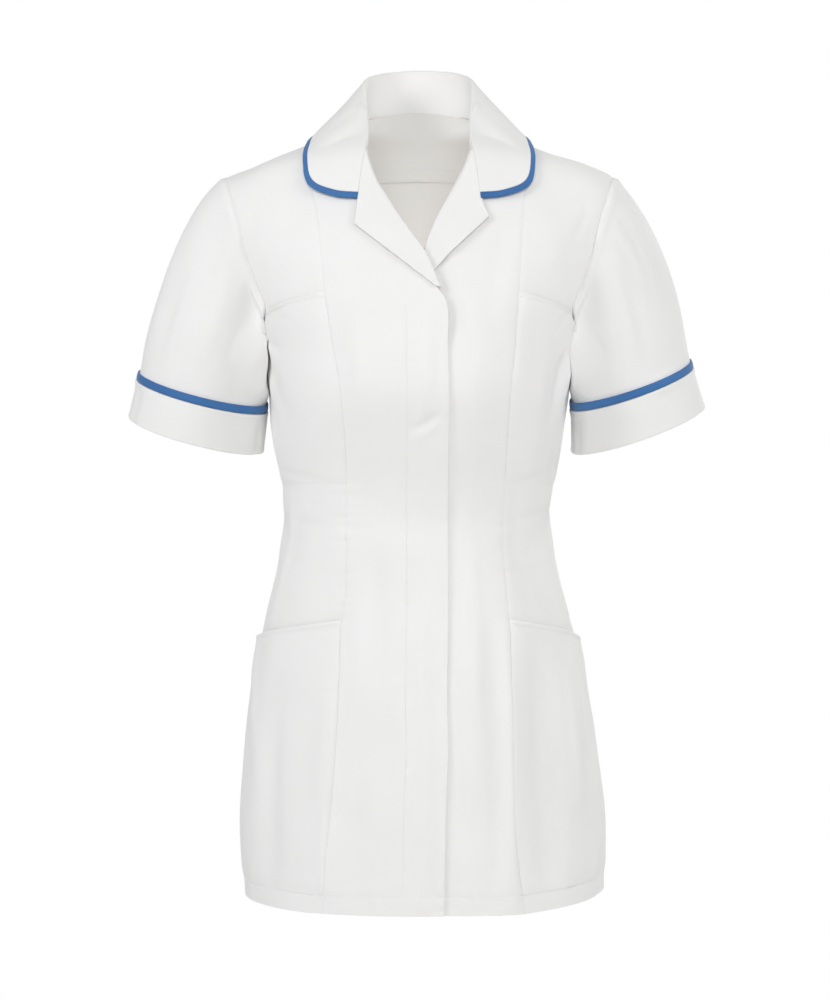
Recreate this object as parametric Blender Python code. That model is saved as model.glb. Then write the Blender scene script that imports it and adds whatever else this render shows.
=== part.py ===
"""Short-sleeved medical tunic with a piped round collar, revers, piped cuffs and four patch pockets.

The garment keeps its worn, hollow form. Metres, +Z up, the front faces -Y, the wearer's left is +X.
The origin is the middle of the neck opening, level with the neck points of the shoulder seams.
"""

import math
from collections import namedtuple

import bmesh
import bpy
import numpy as np

COLLECTION = "medical_tunic"
SIDES = {"right": -1, "left": 1}

# Cloth and the gaps between its pieces
WALL = 0.0012
SEAM_GAP = 0.0004
SLEEVE_GAP = 0.0006

# Driving heights
NECK_POINT_X = 0.066
SHOULDER_TIP = (0.185, -0.046)
UNDERARM_Z = -0.200
GORGE_Z = -0.025

# Torso sections from hem to nape: half width, sideways shift, place of the side seam, depths and roundness
Section = namedtuple("Section", "z half mid side_y front back power")
TORSO = [
    Section(-0.740, 0.1712, 0.0062, 0.005, 0.130, 0.1200, 2.30),
    Section(-0.700, 0.1718, 0.0052, 0.005, 0.131, 0.1210, 2.30),
    Section(-0.650, 0.1712, 0.0032, 0.005, 0.132, 0.1240, 2.30),
    Section(-0.600, 0.1672, 0.0018, 0.005, 0.133, 0.1260, 2.30),
    Section(-0.553, 0.1627, 0.0005, 0.005, 0.132, 0.1240, 2.30),
    Section(-0.500, 0.1540, -0.0005, 0.005, 0.127, 0.1150, 2.30),
    Section(-0.450, 0.1413, -0.0028, 0.005, 0.121, 0.1020, 2.30),
    Section(-0.410, 0.1306, -0.0038, 0.005, 0.117, 0.0935, 2.25),
    Section(-0.375, 0.1276, -0.0025, 0.005, 0.115, 0.0900, 2.20),
    Section(-0.345, 0.1293, -0.0008, 0.005, 0.120, 0.0920, 2.20),
    Section(-0.300, 0.1376, -0.0006, 0.005, 0.134, 0.0985, 2.20),
    Section(-0.250, 0.1443, 0.0000, 0.005, 0.146, 0.1050, 2.25),
    Section(-0.200, 0.1500, 0.0000, 0.005, 0.134, 0.1110, 2.30),
    Section(-0.180, 0.1572, 0.0000, 0.005, 0.1265, 0.1122, 2.30),
    Section(-0.160, 0.1670, 0.0000, 0.005, 0.118, 0.1130, 2.30),
    Section(-0.130, 0.1870, 0.0000, 0.004, 0.106, 0.1120, 2.25),
    Section(-0.100, 0.2070, 0.0000, 0.003, 0.094, 0.1100, 2.20),
    Section(-0.080, 0.2120, 0.0000, 0.002, 0.083, 0.1080, 2.15),
    Section(-0.060, 0.2050, 0.0000, 0.001, 0.074, 0.1040, 2.10),
    Section(-0.046, 0.1850, 0.0000, 0.000, 0.068, 0.1010, 2.10),
    Section(-0.026, 0.1333, 0.0000, 0.000, 0.0574, 0.0945, 2.10),
    Section(-0.016, 0.1074, 0.0000, 0.000, 0.046, 0.0910, 2.10),
    Section(-0.008, 0.0867, 0.0000, 0.000, 0.034, 0.0875, 2.10),
    Section(0.000, 0.0660, 0.0000, 0.000, 0.024, 0.0830, 2.10),
    Section(0.012, 0.0610, 0.0000, 0.000, 0.018, 0.0770, 2.10),
    Section(0.030, 0.0540, 0.0000, 0.000, 0.012, 0.0660, 2.10),
]

# Princess seams of the front, from hem to shoulder
Princess = namedtuple("Princess", "z right left")
PRINCESS = [
    Princess(-0.740, -0.0900, 0.0980),
    Princess(-0.7145, -0.0882, 0.0945),
    Princess(-0.667, -0.0840, 0.0885),
    Princess(-0.600, -0.0782, 0.0860),
    Princess(-0.530, -0.0742, 0.0845),
    Princess(-0.466, -0.0722, 0.0828),
    Princess(-0.440, -0.0685, 0.0808),
    Princess(-0.400, -0.0677, 0.0780),
    Princess(-0.340, -0.0675, 0.0800),
    Princess(-0.290, -0.0690, 0.0815),
    Princess(-0.250, -0.0732, 0.0841),
    Princess(-0.200, -0.0817, 0.0892),
    Princess(-0.160, -0.0878, 0.0925),
    Princess(-0.0855, -0.0958, 0.0970),
    Princess(-0.0638, -0.1000, 0.0990),
    Princess(-0.030, -0.1040, 0.1035),
    Princess(-0.0153, -0.1055, 0.1055),
]

# Front edge of each front below its break point, from the hem up; the left front lies under the right one
Edge = namedtuple("Edge", "z x")
PLACKET = {
    "right": [
        Edge(-0.740, 0.0228),
        Edge(-0.697, 0.0237),
        Edge(-0.640, 0.0246),
        Edge(-0.580, 0.0265),
        Edge(-0.535, 0.0257),
        Edge(-0.490, 0.0265),
        Edge(-0.330, 0.0267),
        Edge(-0.264, 0.0274),
        Edge(-0.214, 0.0265),
        Edge(-0.1715, 0.0245),
        Edge(-0.1595, 0.0193),
    ],
    "left": [
        Edge(-0.740, -0.0170),
        Edge(-0.190, -0.0170),
        Edge(-0.1637, -0.0130),
    ],
}

# Roll line of each revers, from the break point up to the gorge
ROLL = {
    "right": [
        Edge(-0.1595, 0.0193),
        Edge(-0.1235, 0.0037),
        Edge(-0.1015, -0.0120),
        Edge(-0.0770, -0.0279),
        Edge(-0.0426, -0.0449),
        Edge(-0.0250, -0.0490),
    ],
    "left": [
        Edge(-0.1637, -0.0130),
        Edge(-0.1234, 0.0042),
        Edge(-0.0897, 0.0186),
        Edge(-0.0591, 0.0346),
        Edge(-0.0438, 0.0422),
        Edge(-0.0250, 0.0490),
    ],
}
REVERS_TIP = {"right": (-0.0601, -0.0996), "left": (0.0648, -0.0924)}
# Rows of a revers above its tip, and its width at the break point
REVERS_ROWS_ABOVE_TIP = 2
REVERS_START = 0.004
REVERS_FOLD = 0.0012
REVERS_STAND = 0.0015
REVERS_RISE = 0.0026
REVERS_SETTLES = 0.020
REVERS_STEPS = 5

# The left front sinks under the right one before its edge, and deeper towards the break point
LAP_LEAD = 0.026
LAP_WIDTH = 0.022
LAP_DEPTHS = (0.0022, 0.0058)
LAP_DEEPENS = (-0.225, -0.180)

# Armhole, from the underarm up to the shoulder tip
Armhole = namedtuple("Armhole", "z front back")
ARMHOLE = [
    Armhole(-0.200, 0.1500, 0.1500),
    Armhole(-0.178, 0.1440, 0.1530),
    Armhole(-0.1545, 0.1520, 0.1590),
    Armhole(-0.140, 0.1565, 0.1630),
    Armhole(-0.1254, 0.1620, 0.1670),
    Armhole(-0.102, 0.1675, 0.1730),
    Armhole(-0.086, 0.1715, 0.1765),
    Armhole(-0.068, 0.1775, 0.1800),
    Armhole(-0.056, 0.1815, 0.1825),
    Armhole(-0.046, 0.1850, 0.1850),
]

# Rows that all the panels of the body share: height at the princess seam, at the side, and how many steps
Row = namedtuple("Row", "name princess side steps")
LOWER_ROWS = [
    Row("hem", -0.7360, -0.7325, 0),
    Row("hem_stitch", -0.7185, -0.7150, 1),
    Row("hip_pocket_top", -0.4660, -0.4890, 8),
    Row("breast_pocket_bottom", -0.3400, -0.3400, 5),
    Row("underarm", -0.1975, UNDERARM_Z, 5),
]
# The hem rises at the left side seam, from this height down
SIDE_RISE = {"right": 0.0, "left": 0.0110}
SIDE_RISE_FROM = -0.600
ROWS_TO_POCKET_TOP = 3
ROWS_TO_SHOULDER = 9
BREAST_POCKET_TOP = (-0.1630, -0.1790)
ROWS_TO_BREAK = 3
ROWS_OF_ROLL = 6
ROWS_OF_NECK = 3
PANEL_STEPS = 6
BACK_NECK_STEPS = 6
BACK_NECK_ROUNDNESS = 1.6
# Points of each dense curve that evenly spaced places are read from
DENSE = 200

# The hip pockets stand a little open towards the side seam
HIP_POCKET_GAPE = 0.0015
GAPE_FROM = 0.6

# Collar from the gorge to the centre back: neck seam, fold and outer edge of the piping
Collar = namedtuple("Collar", "at neck_x neck_z fold_x fold_y fold_z edge_x edge_y edge_z")
COLLAR = [
    Collar(0, 0.0516, -0.0262, 0.0490, -0.0532, -0.0248, 0.0575, -0.0795, -0.0745),
    Collar(1, 0.0565, -0.0165, 0.0482, -0.0420, -0.0135, 0.0810, -0.0763, -0.0714),
    Collar(2, 0.0615, -0.0075, 0.0480, -0.0250, 0.0010, 0.1035, -0.0684, -0.0607),
    Collar(3, 0.0650, -0.0015, 0.0490, -0.0080, 0.0180, 0.1092, -0.0535, -0.0380),
    Collar(4, 0.0640, 0.0050, 0.0512, 0.0100, 0.0360, 0.1065, -0.0120, -0.0130),
    Collar(5, 0.0575, 0.0120, 0.0505, 0.0300, 0.0515, 0.1000, 0.0280, -0.0100),
    Collar(6, 0.0450, 0.0180, 0.0410, 0.0520, 0.0605, 0.0820, 0.0590, -0.0095),
    Collar(7, 0.0250, 0.0230, 0.0235, 0.0685, 0.0660, 0.0480, 0.0800, -0.0075),
    Collar(8, 0.0000, 0.0250, 0.0000, 0.0750, 0.0675, 0.0000, 0.0880, -0.0050),
]
COLLAR_FOLD = 0.0022
COLLAR_FOLD_WIDENS_TO = 2.5
COLLAR_BULGE = 0.0015
COLLAR_RISE = 0.0026
COLLAR_RISE_BELOW = (0.010, 0.030)
COLLAR_STEPS = 16
COLLAR_LEAF_STEPS = 5
# Angles of the fold, of the collar and of the revers, in degrees from the stand
FOLD_ANGLES = (0, 45, 90, 135)
# Row of the table at which the neck seam passes the neck point
NECK_POINT_AT = 3.3
PIPING_WIDTH = 0.0068

# Back neck facing, in rows of the back's grid below the neck seam, and its columns past the neck points
FacingRows = namedtuple("FacingRows", "centre side below_seam")
FACING_ROWS = FacingRows(3.46, 3.20, 0.05)
FACING_REACH = 1
FACING_GAP = 0.0010

# Largest folds of the body, each between two places; the angle runs round from the centre front
Fold = namedtuple("Fold", "angle_a z_a angle_b z_b width depth")
FOLDS = [
    Fold(-82, -0.205, -60, -0.272, 0.024, -0.0040),
    Fold(-88, -0.238, -66, -0.300, 0.022, -0.0028),
    Fold(72, -0.208, 57, -0.262, 0.026, -0.0034),
    Fold(86, -0.236, 68, -0.292, 0.022, -0.0024),
    Fold(-90, -0.372, -58, -0.398, 0.026, -0.0026),
    Fold(90, -0.366, 60, -0.394, 0.026, -0.0026),
    Fold(-48, -0.560, -56, -0.730, 0.040, -0.0034),
    Fold(38, -0.580, 44, -0.730, 0.040, -0.0030),
    Fold(70, -0.540, 76, -0.720, 0.040, 0.0024),
    Fold(-80, -0.560, -84, -0.720, 0.036, 0.0022),
    Fold(125, -0.235, 150, -0.300, 0.026, -0.0034),
    Fold(-124, -0.240, -152, -0.306, 0.026, -0.0036),
    Fold(118, -0.362, 158, -0.386, 0.026, -0.0030),
    Fold(-120, -0.368, -156, -0.380, 0.026, -0.0028),
    Fold(140, -0.560, 136, -0.730, 0.042, -0.0036),
    Fold(-146, -0.570, -140, -0.730, 0.042, -0.0032),
    Fold(180, -0.600, 176, -0.730, 0.040, 0.0026),
]
FOLD_RADIUS = 0.14
# Share of a fold's depth that is left at its two ends
FOLD_ENDS = 0.35

# Soft folds of the sleeves: angle from the underarm over the front, stretch along the arm, half width
SleeveFold = namedtuple("SleeveFold", "angle start end width depth")
SLEEVE_FOLDS = {
    "right": [
        SleeveFold(38, 0.10, 0.95, 20, -0.0036),
        SleeveFold(72, 0.05, 0.75, 20, -0.0026),
        SleeveFold(-52, 0.10, 0.90, 24, -0.0036),
        SleeveFold(140, 0.35, 1.00, 26, -0.0020),
    ],
    "left": [
        SleeveFold(34, 0.10, 0.95, 20, -0.0032),
        SleeveFold(68, 0.08, 0.70, 20, -0.0026),
        SleeveFold(-58, 0.10, 0.90, 24, -0.0034),
        SleeveFold(-135, 0.35, 1.00, 26, -0.0022),
    ],
}

# Rings at the top and bottom of each cuff: centre, half width across the arm and tilt in degrees
Ring = namedtuple("Ring", "x y z half depth tilt")
CUFF_TOP = {
    "right": Ring(-0.2092, 0.012, -0.2540, 0.0657, 0.0560, 14.4),
    "left": Ring(0.2051, 0.012, -0.2472, 0.0632, 0.0560, 19.0),
}
CUFF_BOTTOM = {
    "right": Ring(-0.2155, 0.016, -0.2910, 0.0678, 0.0580, 15.0),
    "left": Ring(0.2111, 0.016, -0.2868, 0.0688, 0.0580, 19.0),
}
RING_FRONT_DROP = 12.0
CUFF_STANDS_PROUD = 0.0022
CUFF_PIPING_WIDTH = 0.0075
CUFF_PIPING_TAPER = 0.0006
CUFF_STEPS = 2
SLEEVE_TUCK = 0.006
SLEEVE_ROWS = [0.0, 0.09, 0.2, 0.34, 0.5, 0.66, 0.82, 1.0]
# At the underarm and at the shoulder: the sleeve's first direction, outwards and up, and how far it is kept
SLEEVE_LEAVES = ((0.25, -0.97), (0.90, -0.47))
SLEEVE_LEAD_IN = (0.05, 0.135)
SLEEVE_LEAD_OUT = (0.05, 0.17)
# Steps round the armhole that a pocket's edge takes up, on the front and on the back
POCKET_STEPS = (5, 2)
# The sleeve's inner side hangs close to the body: its height above the torso, and what is drawn there
SLEEVE_CLEARANCE = 0.0027
SLEEVE_DRAWN_WITHIN = 0.011
SLEEVE_DRAWN_ROWS = (0.05, 0.30, 0.80, 1.0)

# Colours
WHITE = (0.83, 0.83, 0.82, 1)
BLUE = (0.045, 0.16, 0.45, 1)


def through(rows, column, at, key="z"):
    """Smooth curve through one column of a table, read at the given places."""
    places = np.array([getattr(row, key) for row in rows], dtype=float)
    values = np.array([getattr(row, column) for row in rows], dtype=float)
    slopes = np.gradient(values, places)
    at = np.clip(at, places[0], places[-1])
    i = np.clip(np.searchsorted(places, at) - 1, 0, len(places) - 2)
    span = places[i + 1] - places[i]
    t = (at - places[i]) / span
    start = values[i] * (1 + 2 * t) * (1 - t) ** 2 + slopes[i] * span * t * (1 - t) ** 2
    end = values[i + 1] * t * t * (3 - 2 * t) - slopes[i + 1] * span * t * t * (1 - t)
    return start + end


def smooth_step(t):
    t = np.clip(t, 0, 1)
    return t * t * (3 - 2 * t)


def torso(turn, z, back=False):
    """Point of the torso's outer face: turn is 0 at the centre and a right angle at the side seams."""
    power = through(TORSO, "power", z)
    reach = (np.abs(np.sin(turn)) ** power + np.abs(np.cos(turn)) ** power) ** (-1 / power)
    x = through(TORSO, "mid", z) + through(TORSO, "half", z) * reach * np.sin(turn)
    depth = through(TORSO, "back", z) if back else -through(TORSO, "front", z)
    y = through(TORSO, "side_y", z) + depth * reach * np.cos(turn)
    return np.stack([x, y, z + 0 * x], axis=-1)


def turn_at(x, z):
    """Turn of the torso's point at a given x and height."""
    power = through(TORSO, "power", z)
    share = np.clip((x - through(TORSO, "mid", z)) / through(TORSO, "half", z), -1, 1)
    return np.arctan2(share, (1 - np.abs(share) ** power) ** (1 / power))


def unit(v):
    return v / np.linalg.norm(v, axis=-1, keepdims=True)


def torso_normal(turn, z, back=False):
    """Unit normal of the torso, pointing away from the wearer."""
    step_turn, step_z = 0.02, 0.004
    across = torso(turn + step_turn, z, back) - torso(turn - step_turn, z, back)
    up = torso(turn, z + step_z, back) - torso(turn, z - step_z, back)
    normal = unit(np.cross(across, up))
    return -normal if back else normal


def on_torso(turn, z, out=0.0, back=False):
    out = np.asarray(out)[..., None]
    return torso(turn, z, back) + torso_normal(turn, z, back) * out


def folds(turn, z, back=False):
    """Height of the body's folds at places on the torso."""
    angle = np.sign(turn) * math.pi - turn if back else turn
    height = np.zeros(np.broadcast(turn, z).shape)
    for fold in FOLDS:
        from_a = np.mod(angle - math.radians(fold.angle_a) + math.pi, 2 * math.pi) - math.pi
        along = np.array([math.radians(fold.angle_b - fold.angle_a) * FOLD_RADIUS, fold.z_b - fold.z_a])
        place = np.stack([from_a * FOLD_RADIUS, z - fold.z_a], axis=-1)
        t = np.clip(place @ along / (along @ along), 0, 1)
        away = np.linalg.norm(place - t[..., None] * along, axis=-1)
        swell = FOLD_ENDS + (1 - FOLD_ENDS) * np.sin(math.pi * t)
        height += fold.depth * swell * smooth_step(1 - away / fold.width)
    return height


def on_cloth(turn, z, out=0.0, back=False):
    """Point at a height above the body's cloth, folds included."""
    return on_torso(turn, z, out + folds(turn, z, back), back)


def evenly(turn, z, steps, back=False):
    """Places along a dense curve on the torso, evenly spaced by its length."""
    points = torso(turn, z, back)
    run = np.concatenate([[0], np.cumsum(np.linalg.norm(np.diff(points, axis=0), axis=1))])
    at = np.linspace(0, run[-1], steps + 1)
    return np.interp(at, run, turn), np.interp(at, run, z)


def joined(parts):
    """Joins runs of places whose ends meet."""
    first = parts[0]
    turns = [first[0]] + [p[0][1:] for p in parts[1:]]
    heights = [first[1]] + [p[1][1:] for p in parts[1:]]
    return np.concatenate(turns), np.concatenate(heights)


def lower_heights(column):
    """Heights of the shared rows from the hem up to the underarm."""
    heights = [getattr(LOWER_ROWS[0], column)]
    for below, row in zip(LOWER_ROWS, LOWER_ROWS[1:]):
        steps = np.linspace(getattr(below, column), getattr(row, column), row.steps + 1)
        heights.extend(steps[1:])
    return np.array(heights)


def princess_line(side):
    """Places of the shared rows along a front princess seam, hem to shoulder."""

    def run(low, high, steps):
        toward_top = np.linspace(0, 1, DENSE)
        z = low + (high - low) * (1 - (1 - toward_top) ** 2)
        return evenly(turn_at(through(PRINCESS, side, z), z), z, steps)

    lower = lower_heights("princess")
    top = PRINCESS[-1].z
    below = turn_at(through(PRINCESS, side, lower), lower), lower
    to_pocket = run(lower[-1], BREAST_POCKET_TOP[0], ROWS_TO_POCKET_TOP)
    to_shoulder = run(BREAST_POCKET_TOP[0], top, ROWS_TO_SHOULDER)
    turn, z = joined([below, to_pocket, to_shoulder])
    turn[-1] = SIDES[side] * math.pi / 2
    return turn, z


def side_line(side, back=False):
    """Places of the shared rows up a side seam and round an armhole to the shoulder tip."""
    sign = SIDES[side]

    def run(low, high, steps):
        half_turn = np.linspace(0, math.pi, DENSE)
        z = low + (high - low) * (1 - np.cos(half_turn)) / 2
        x = through(ARMHOLE, "back" if back else "front", z)
        return evenly(sign * turn_at(x, z), z, steps, back)

    lower = lower_heights("side")
    hem = lower[0]
    lower = lower + SIDE_RISE[side] * smooth_step((SIDE_RISE_FROM - lower) / (SIDE_RISE_FROM - hem))
    below = np.full(len(lower), sign * math.pi / 2), lower
    to_pocket = run(UNDERARM_Z, BREAST_POCKET_TOP[1], ROWS_TO_POCKET_TOP)
    to_tip = run(BREAST_POCKET_TOP[1], SHOULDER_TIP[1], ROWS_TO_SHOULDER)
    turn, z = joined([below, to_pocket, to_tip])
    turn[len(lower) - 1] = sign * math.pi / 2
    turn[-1] = sign * math.pi / 2
    return turn, z


def neck_line(side):
    """Front neckline from the gorge up to the neck point."""
    z = np.linspace(COLLAR[0].neck_z, 0, DENSE)
    rows = COLLAR[:3] + [COLLAR[3]._replace(neck_x=NECK_POINT_X, neck_z=0.0)]
    x = SIDES[side] * through(rows, "neck_x", z, key="neck_z")
    return evenly(turn_at(x, z), z, ROWS_OF_NECK)


def revers_frame(side):
    """Roll line, outline and reach of a revers in the front view, from the break point to the gorge."""
    rolls = ROLL[side]
    z = np.linspace(rolls[0].z, GORGE_Z, DENSE)
    turn, roll_z = evenly(turn_at(through(rolls, "x", z), z), z, ROWS_OF_ROLL)
    roll = torso(turn, roll_z)[:, [0, 2]]
    sign = SIDES[side]
    tip = np.array(REVERS_TIP[side])
    notch = np.array([sign * COLLAR[0].edge_x, COLLAR[0].edge_z])
    low_end = roll[0] + np.array([sign * REVERS_START, 0.0])
    tip_row = ROWS_OF_ROLL - REVERS_ROWS_ABOVE_TIP
    below = low_end + (tip - low_end) * np.linspace(0, 1, tip_row + 1)[:-1, None]
    above = tip + (notch - tip) * np.linspace(0, 1, REVERS_ROWS_ABOVE_TIP + 1)[:, None]
    edge = np.concatenate([below, above])
    reach = np.linalg.norm(edge - roll, axis=1)
    return roll, (edge - roll) / reach[:, None], reach


def to_gorge(rows):
    """How far each row of a revers takes the collar's form, nothing at the break and all at the gorge."""
    return np.linspace(0, 1, rows) ** 3


def front_edge_line(side):
    """Placket edge, start of the revers and neckline of a front, hem to neck point."""
    lower = lower_heights("princess")
    below = turn_at(through(PLACKET[side], "x", lower), lower), lower
    roll, outward, _ = revers_frame(side)
    start_of_revers = roll + outward * (REVERS_FOLD + REVERS_STAND)
    gorge = np.array([SIDES[side] * COLLAR[0].neck_x, COLLAR[0].neck_z])
    start_of_revers = start_of_revers + (gorge - start_of_revers[-1]) * to_gorge(len(roll))[:, None]
    z = np.linspace(lower[-1], start_of_revers[0, 1], DENSE)
    x = through(PLACKET[side], "x", z)
    x = x + (start_of_revers[0, 0] - x[-1]) * smooth_step(np.linspace(-3, 1, DENSE))
    to_break = evenly(turn_at(x, z), z, ROWS_TO_BREAK)
    neck = neck_line(side)
    x, z = start_of_revers.T
    turn, z = joined([below, to_break, (turn_at(x, z), z), neck])
    turn[-1] = SIDES[side] * math.pi / 2
    return turn, z


def between(inner, outer, steps):
    """Grid of places whose rows run straight from one line of places to another."""
    share = np.linspace(0, 1, steps + 1)[None, :]
    turn = inner[0][:, None] * (1 - share) + outer[0][:, None] * share
    z = inner[1][:, None] * (1 - share) + outer[1][:, None] * share
    return turn, z


def covered(x, z):
    """How far the left front sinks where the right one laps over it."""
    cover = np.where(
        z < ROLL["right"][0].z,
        through(PLACKET["right"], "x", z),
        through(ROLL["right"], "x", z),
    )
    near = smooth_step((cover - x + LAP_LEAD) / LAP_WIDTH)
    deeper = smooth_step((z - LAP_DEEPENS[0]) / (LAP_DEEPENS[1] - LAP_DEEPENS[0]))
    return near * (LAP_DEPTHS[0] + (LAP_DEPTHS[1] - LAP_DEPTHS[0]) * deeper)


def lap(side, x, z):
    return -covered(x, z) if side == "left" else 0 * x


def front_grid(side):
    """Places of a centre front, from its front edge to the princess seam."""
    return between(front_edge_line(side), princess_line(side), PANEL_STEPS)


def side_grid(side):
    """Places of a side front, from the princess seam to the side seam and the armhole."""
    return between(princess_line(side), side_line(side), PANEL_STEPS)


def back_grid():
    """Grid of the back: level rows below the arms, then rows that rise to the shoulders and the neck."""
    right, left = side_line("right", back=True), side_line("left", back=True)
    across = 2 * (PANEL_STEPS + BACK_NECK_STEPS)
    level = between(right, left, across)
    seam_z = np.linspace(SHOULDER_TIP[1], 0, PANEL_STEPS + 1)
    seam = np.full(PANEL_STEPS + 1, math.pi / 2), seam_z
    neck_z = np.linspace(0, COLLAR[-1].neck_z, DENSE)
    neck = evenly(turn_at(back_neck_x(neck_z), neck_z), neck_z, BACK_NECK_STEPS, back=True)
    half = joined([seam, neck])
    top_turn = np.concatenate([-half[0], half[0][::-1][1:]])
    top_z = np.concatenate([half[1], half[1][::-1][1:]])
    underarm, last = len(lower_heights("side")) - 1, len(level[0]) - 1
    rise = np.clip((np.arange(last + 1) - underarm) / (last - underarm), 0, 1)[:, None] ** 2
    level_share = np.linspace(-1, 1, across + 1)
    share = level_share * (1 - rise) + top_turn / (math.pi / 2) * rise
    return share * left[0][:, None], level[1] + (top_z - SHOULDER_TIP[1]) * rise


def back_neck_x(z):
    """Half width of the back neckline at a height."""
    rise = COLLAR[-1].neck_z
    return NECK_POINT_X * np.sqrt(np.clip(1 - (z / rise) ** BACK_NECK_ROUNDNESS, 0, 1))


def start():
    for old in list(bpy.data.objects):
        bpy.data.objects.remove(old, do_unlink=True)


def material(name, colour, roughness):
    made = bpy.data.materials.new(name)
    made.use_nodes = True
    shader = made.node_tree.nodes["Principled BSDF"]
    shader.inputs["Base Color"].default_value = colour
    shader.inputs["Roughness"].default_value = roughness
    shader.inputs["Metallic"].default_value = 0.0
    return made


def inset(grid, gap=SEAM_GAP / 2, rows=(0, 0), columns=(1, 1)):
    """Draws the chosen edges of a grid of points in by half a seam gap."""
    grid = grid.copy()
    for drawn, edge, next_in in ((rows[0], 0, 1), (rows[1], -1, -2)):
        if drawn:
            grid[edge] += unit(grid[next_in] - grid[edge]) * gap * drawn
    for drawn, edge, next_in in ((columns[0], 0, 1), (columns[1], -1, -2)):
        if drawn:
            grid[:, edge] += unit(grid[:, next_in] - grid[:, edge]) * gap * drawn
    return grid


def wall(name, outer, inner, look, collection, ring=False):
    """Closed wall between an outer and an inner grid of points; a ring's columns close on themselves."""
    rows, columns = outer.shape[:2]
    count = rows * columns
    steps = columns if ring else columns - 1
    faces = []
    for i in range(rows - 1):
        for j in range(steps):
            a, b = i * columns + j, i * columns + (j + 1) % columns
            for face in ((a, b, b + columns), (a, b + columns, a + columns)):
                faces.append(face)
                faces.append(tuple(v + count for v in reversed(face)))
    rim = [(i * columns + j, i * columns + (j + 1) % columns) for i in (0, rows - 1) for j in range(steps)]
    if not ring:
        rim += [(i * columns + j, (i + 1) * columns + j) for i in range(rows - 1) for j in (0, columns - 1)]
    faces.extend((a, b, b + count, a + count) for a, b in rim)
    mesh = bpy.data.meshes.new(name)
    mesh.from_pydata(np.concatenate([outer.reshape(-1, 3), inner.reshape(-1, 3)]).tolist(), [], faces)
    shaped = bmesh.new()
    shaped.from_mesh(mesh)
    bmesh.ops.recalc_face_normals(shaped, faces=shaped.faces)
    shaped.to_mesh(mesh)
    shaped.free()
    mesh.shade_smooth()
    mesh.set_sharp_from_angle(angle=math.radians(50))
    piece = bpy.data.objects.new(name, mesh)
    piece.data.materials.append(look(name))
    collection.objects.link(piece)
    return piece


def panel(name, grid, collection, side=None, back=False, low=0.0, rows=(0, 1), part=None, lift=None):
    """Wall on the torso; low is how far its outer face lies above the torso's own outer face."""
    turn, z = grid
    if part is not None:
        turn, z = turn[part], z[part]
    x = torso(turn, z, back)[..., 0]
    out = low + (0 * x if side is None else lap(side, x, z))
    if lift is not None:
        out = out + lift
    outer = inset(on_cloth(turn, z, out, back), rows=rows)
    inner = inset(on_cloth(turn, z, out - WALL, back), rows=rows)
    return wall(name, outer, inner, white, collection)


def white(name):
    return material(name + "_white_cloth", WHITE, 0.85)


def blue(name):
    return material(name + "_blue_piping", BLUE, 0.7)


def row_of(name):
    """Index of a named shared row."""
    index = 0
    for row in LOWER_ROWS:
        index += row.steps
        if row.name == name:
            return index
    return index


def pocket(name, side, low_row, high_row, collection, gape):
    """Patch pocket on the side front, made from the panel's own points moved out."""
    grid = side_grid(side)
    rows = high_row - low_row
    up = np.linspace(0, 1, rows + 1)[:, None]
    across = np.linspace(0, 1, PANEL_STEPS + 1)[None, :]
    lift = gape * smooth_step((up - GAPE_FROM) / (1 - GAPE_FROM)) * smooth_step(across)
    low = WALL + SEAM_GAP
    panel(name, grid, collection, low=low, rows=(0, 0), part=slice(low_row, high_row + 1), lift=lift)


def outside_torso(point):
    """Measure that is nought on the torso's outer face and positive outside it."""
    x, y, z = point[..., 0], point[..., 1], point[..., 2]
    power = through(TORSO, "power", z)
    depth = np.where(y > through(TORSO, "side_y", z), through(TORSO, "back", z), through(TORSO, "front", z))
    across = np.abs(x - through(TORSO, "mid", z)) / through(TORSO, "half", z)
    along = np.abs(y - through(TORSO, "side_y", z)) / depth
    return (across**power + along**power) ** (1 / power) - 1


def above_torso(point, step=0.0005):
    """Height of points above the torso's outer face, and the unit direction away from it."""
    steps = [outside_torso(point + step * axis) - outside_torso(point - step * axis) for axis in np.eye(3)]
    slope = np.stack(steps, axis=-1) / (2 * step)
    steepness = np.linalg.norm(slope, axis=-1)
    return outside_torso(point) / steepness, slope / steepness[..., None]


def raised(point, rise):
    """Moves points out until they lie at least this far above the torso, short of the nape."""
    low, high = COLLAR_RISE_BELOW
    for _ in range(4):
        height, away = above_torso(point)
        need = np.clip(rise - height, 0, 0.01) * smooth_step((high - point[..., 2]) / (high - low))
        point = point + away * need[..., None]
    return point


def full_collar():
    """Collar rows from the right gorge round the back to the left one."""
    last = COLLAR[-1].at
    mirrored = [
        row._replace(neck_x=-row.neck_x, fold_x=-row.fold_x, edge_x=-row.edge_x) for row in COLLAR[:-1]
    ]
    other = [row._replace(at=2 * last - row.at) for row in reversed(COLLAR[:-1])]
    return mirrored + [COLLAR[-1]] + other


def neck_seam(at, rows):
    """Mid-wall point and normal of the neck seam, on the front or back of the torso."""
    x, z = through(rows, "neck_x", at, "at"), through(rows, "neck_z", at, "at")
    middle = COLLAR[-1].at
    on_back = (np.abs(at - middle) < middle - NECK_POINT_AT)[..., None]
    turn = turn_at(x, z)
    normal = np.where(on_back, torso_normal(turn, z, back=True), torso_normal(turn, z))
    return np.where(on_back, torso(turn, z, back=True), torso(turn, z)) - normal * WALL / 2, normal


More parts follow.
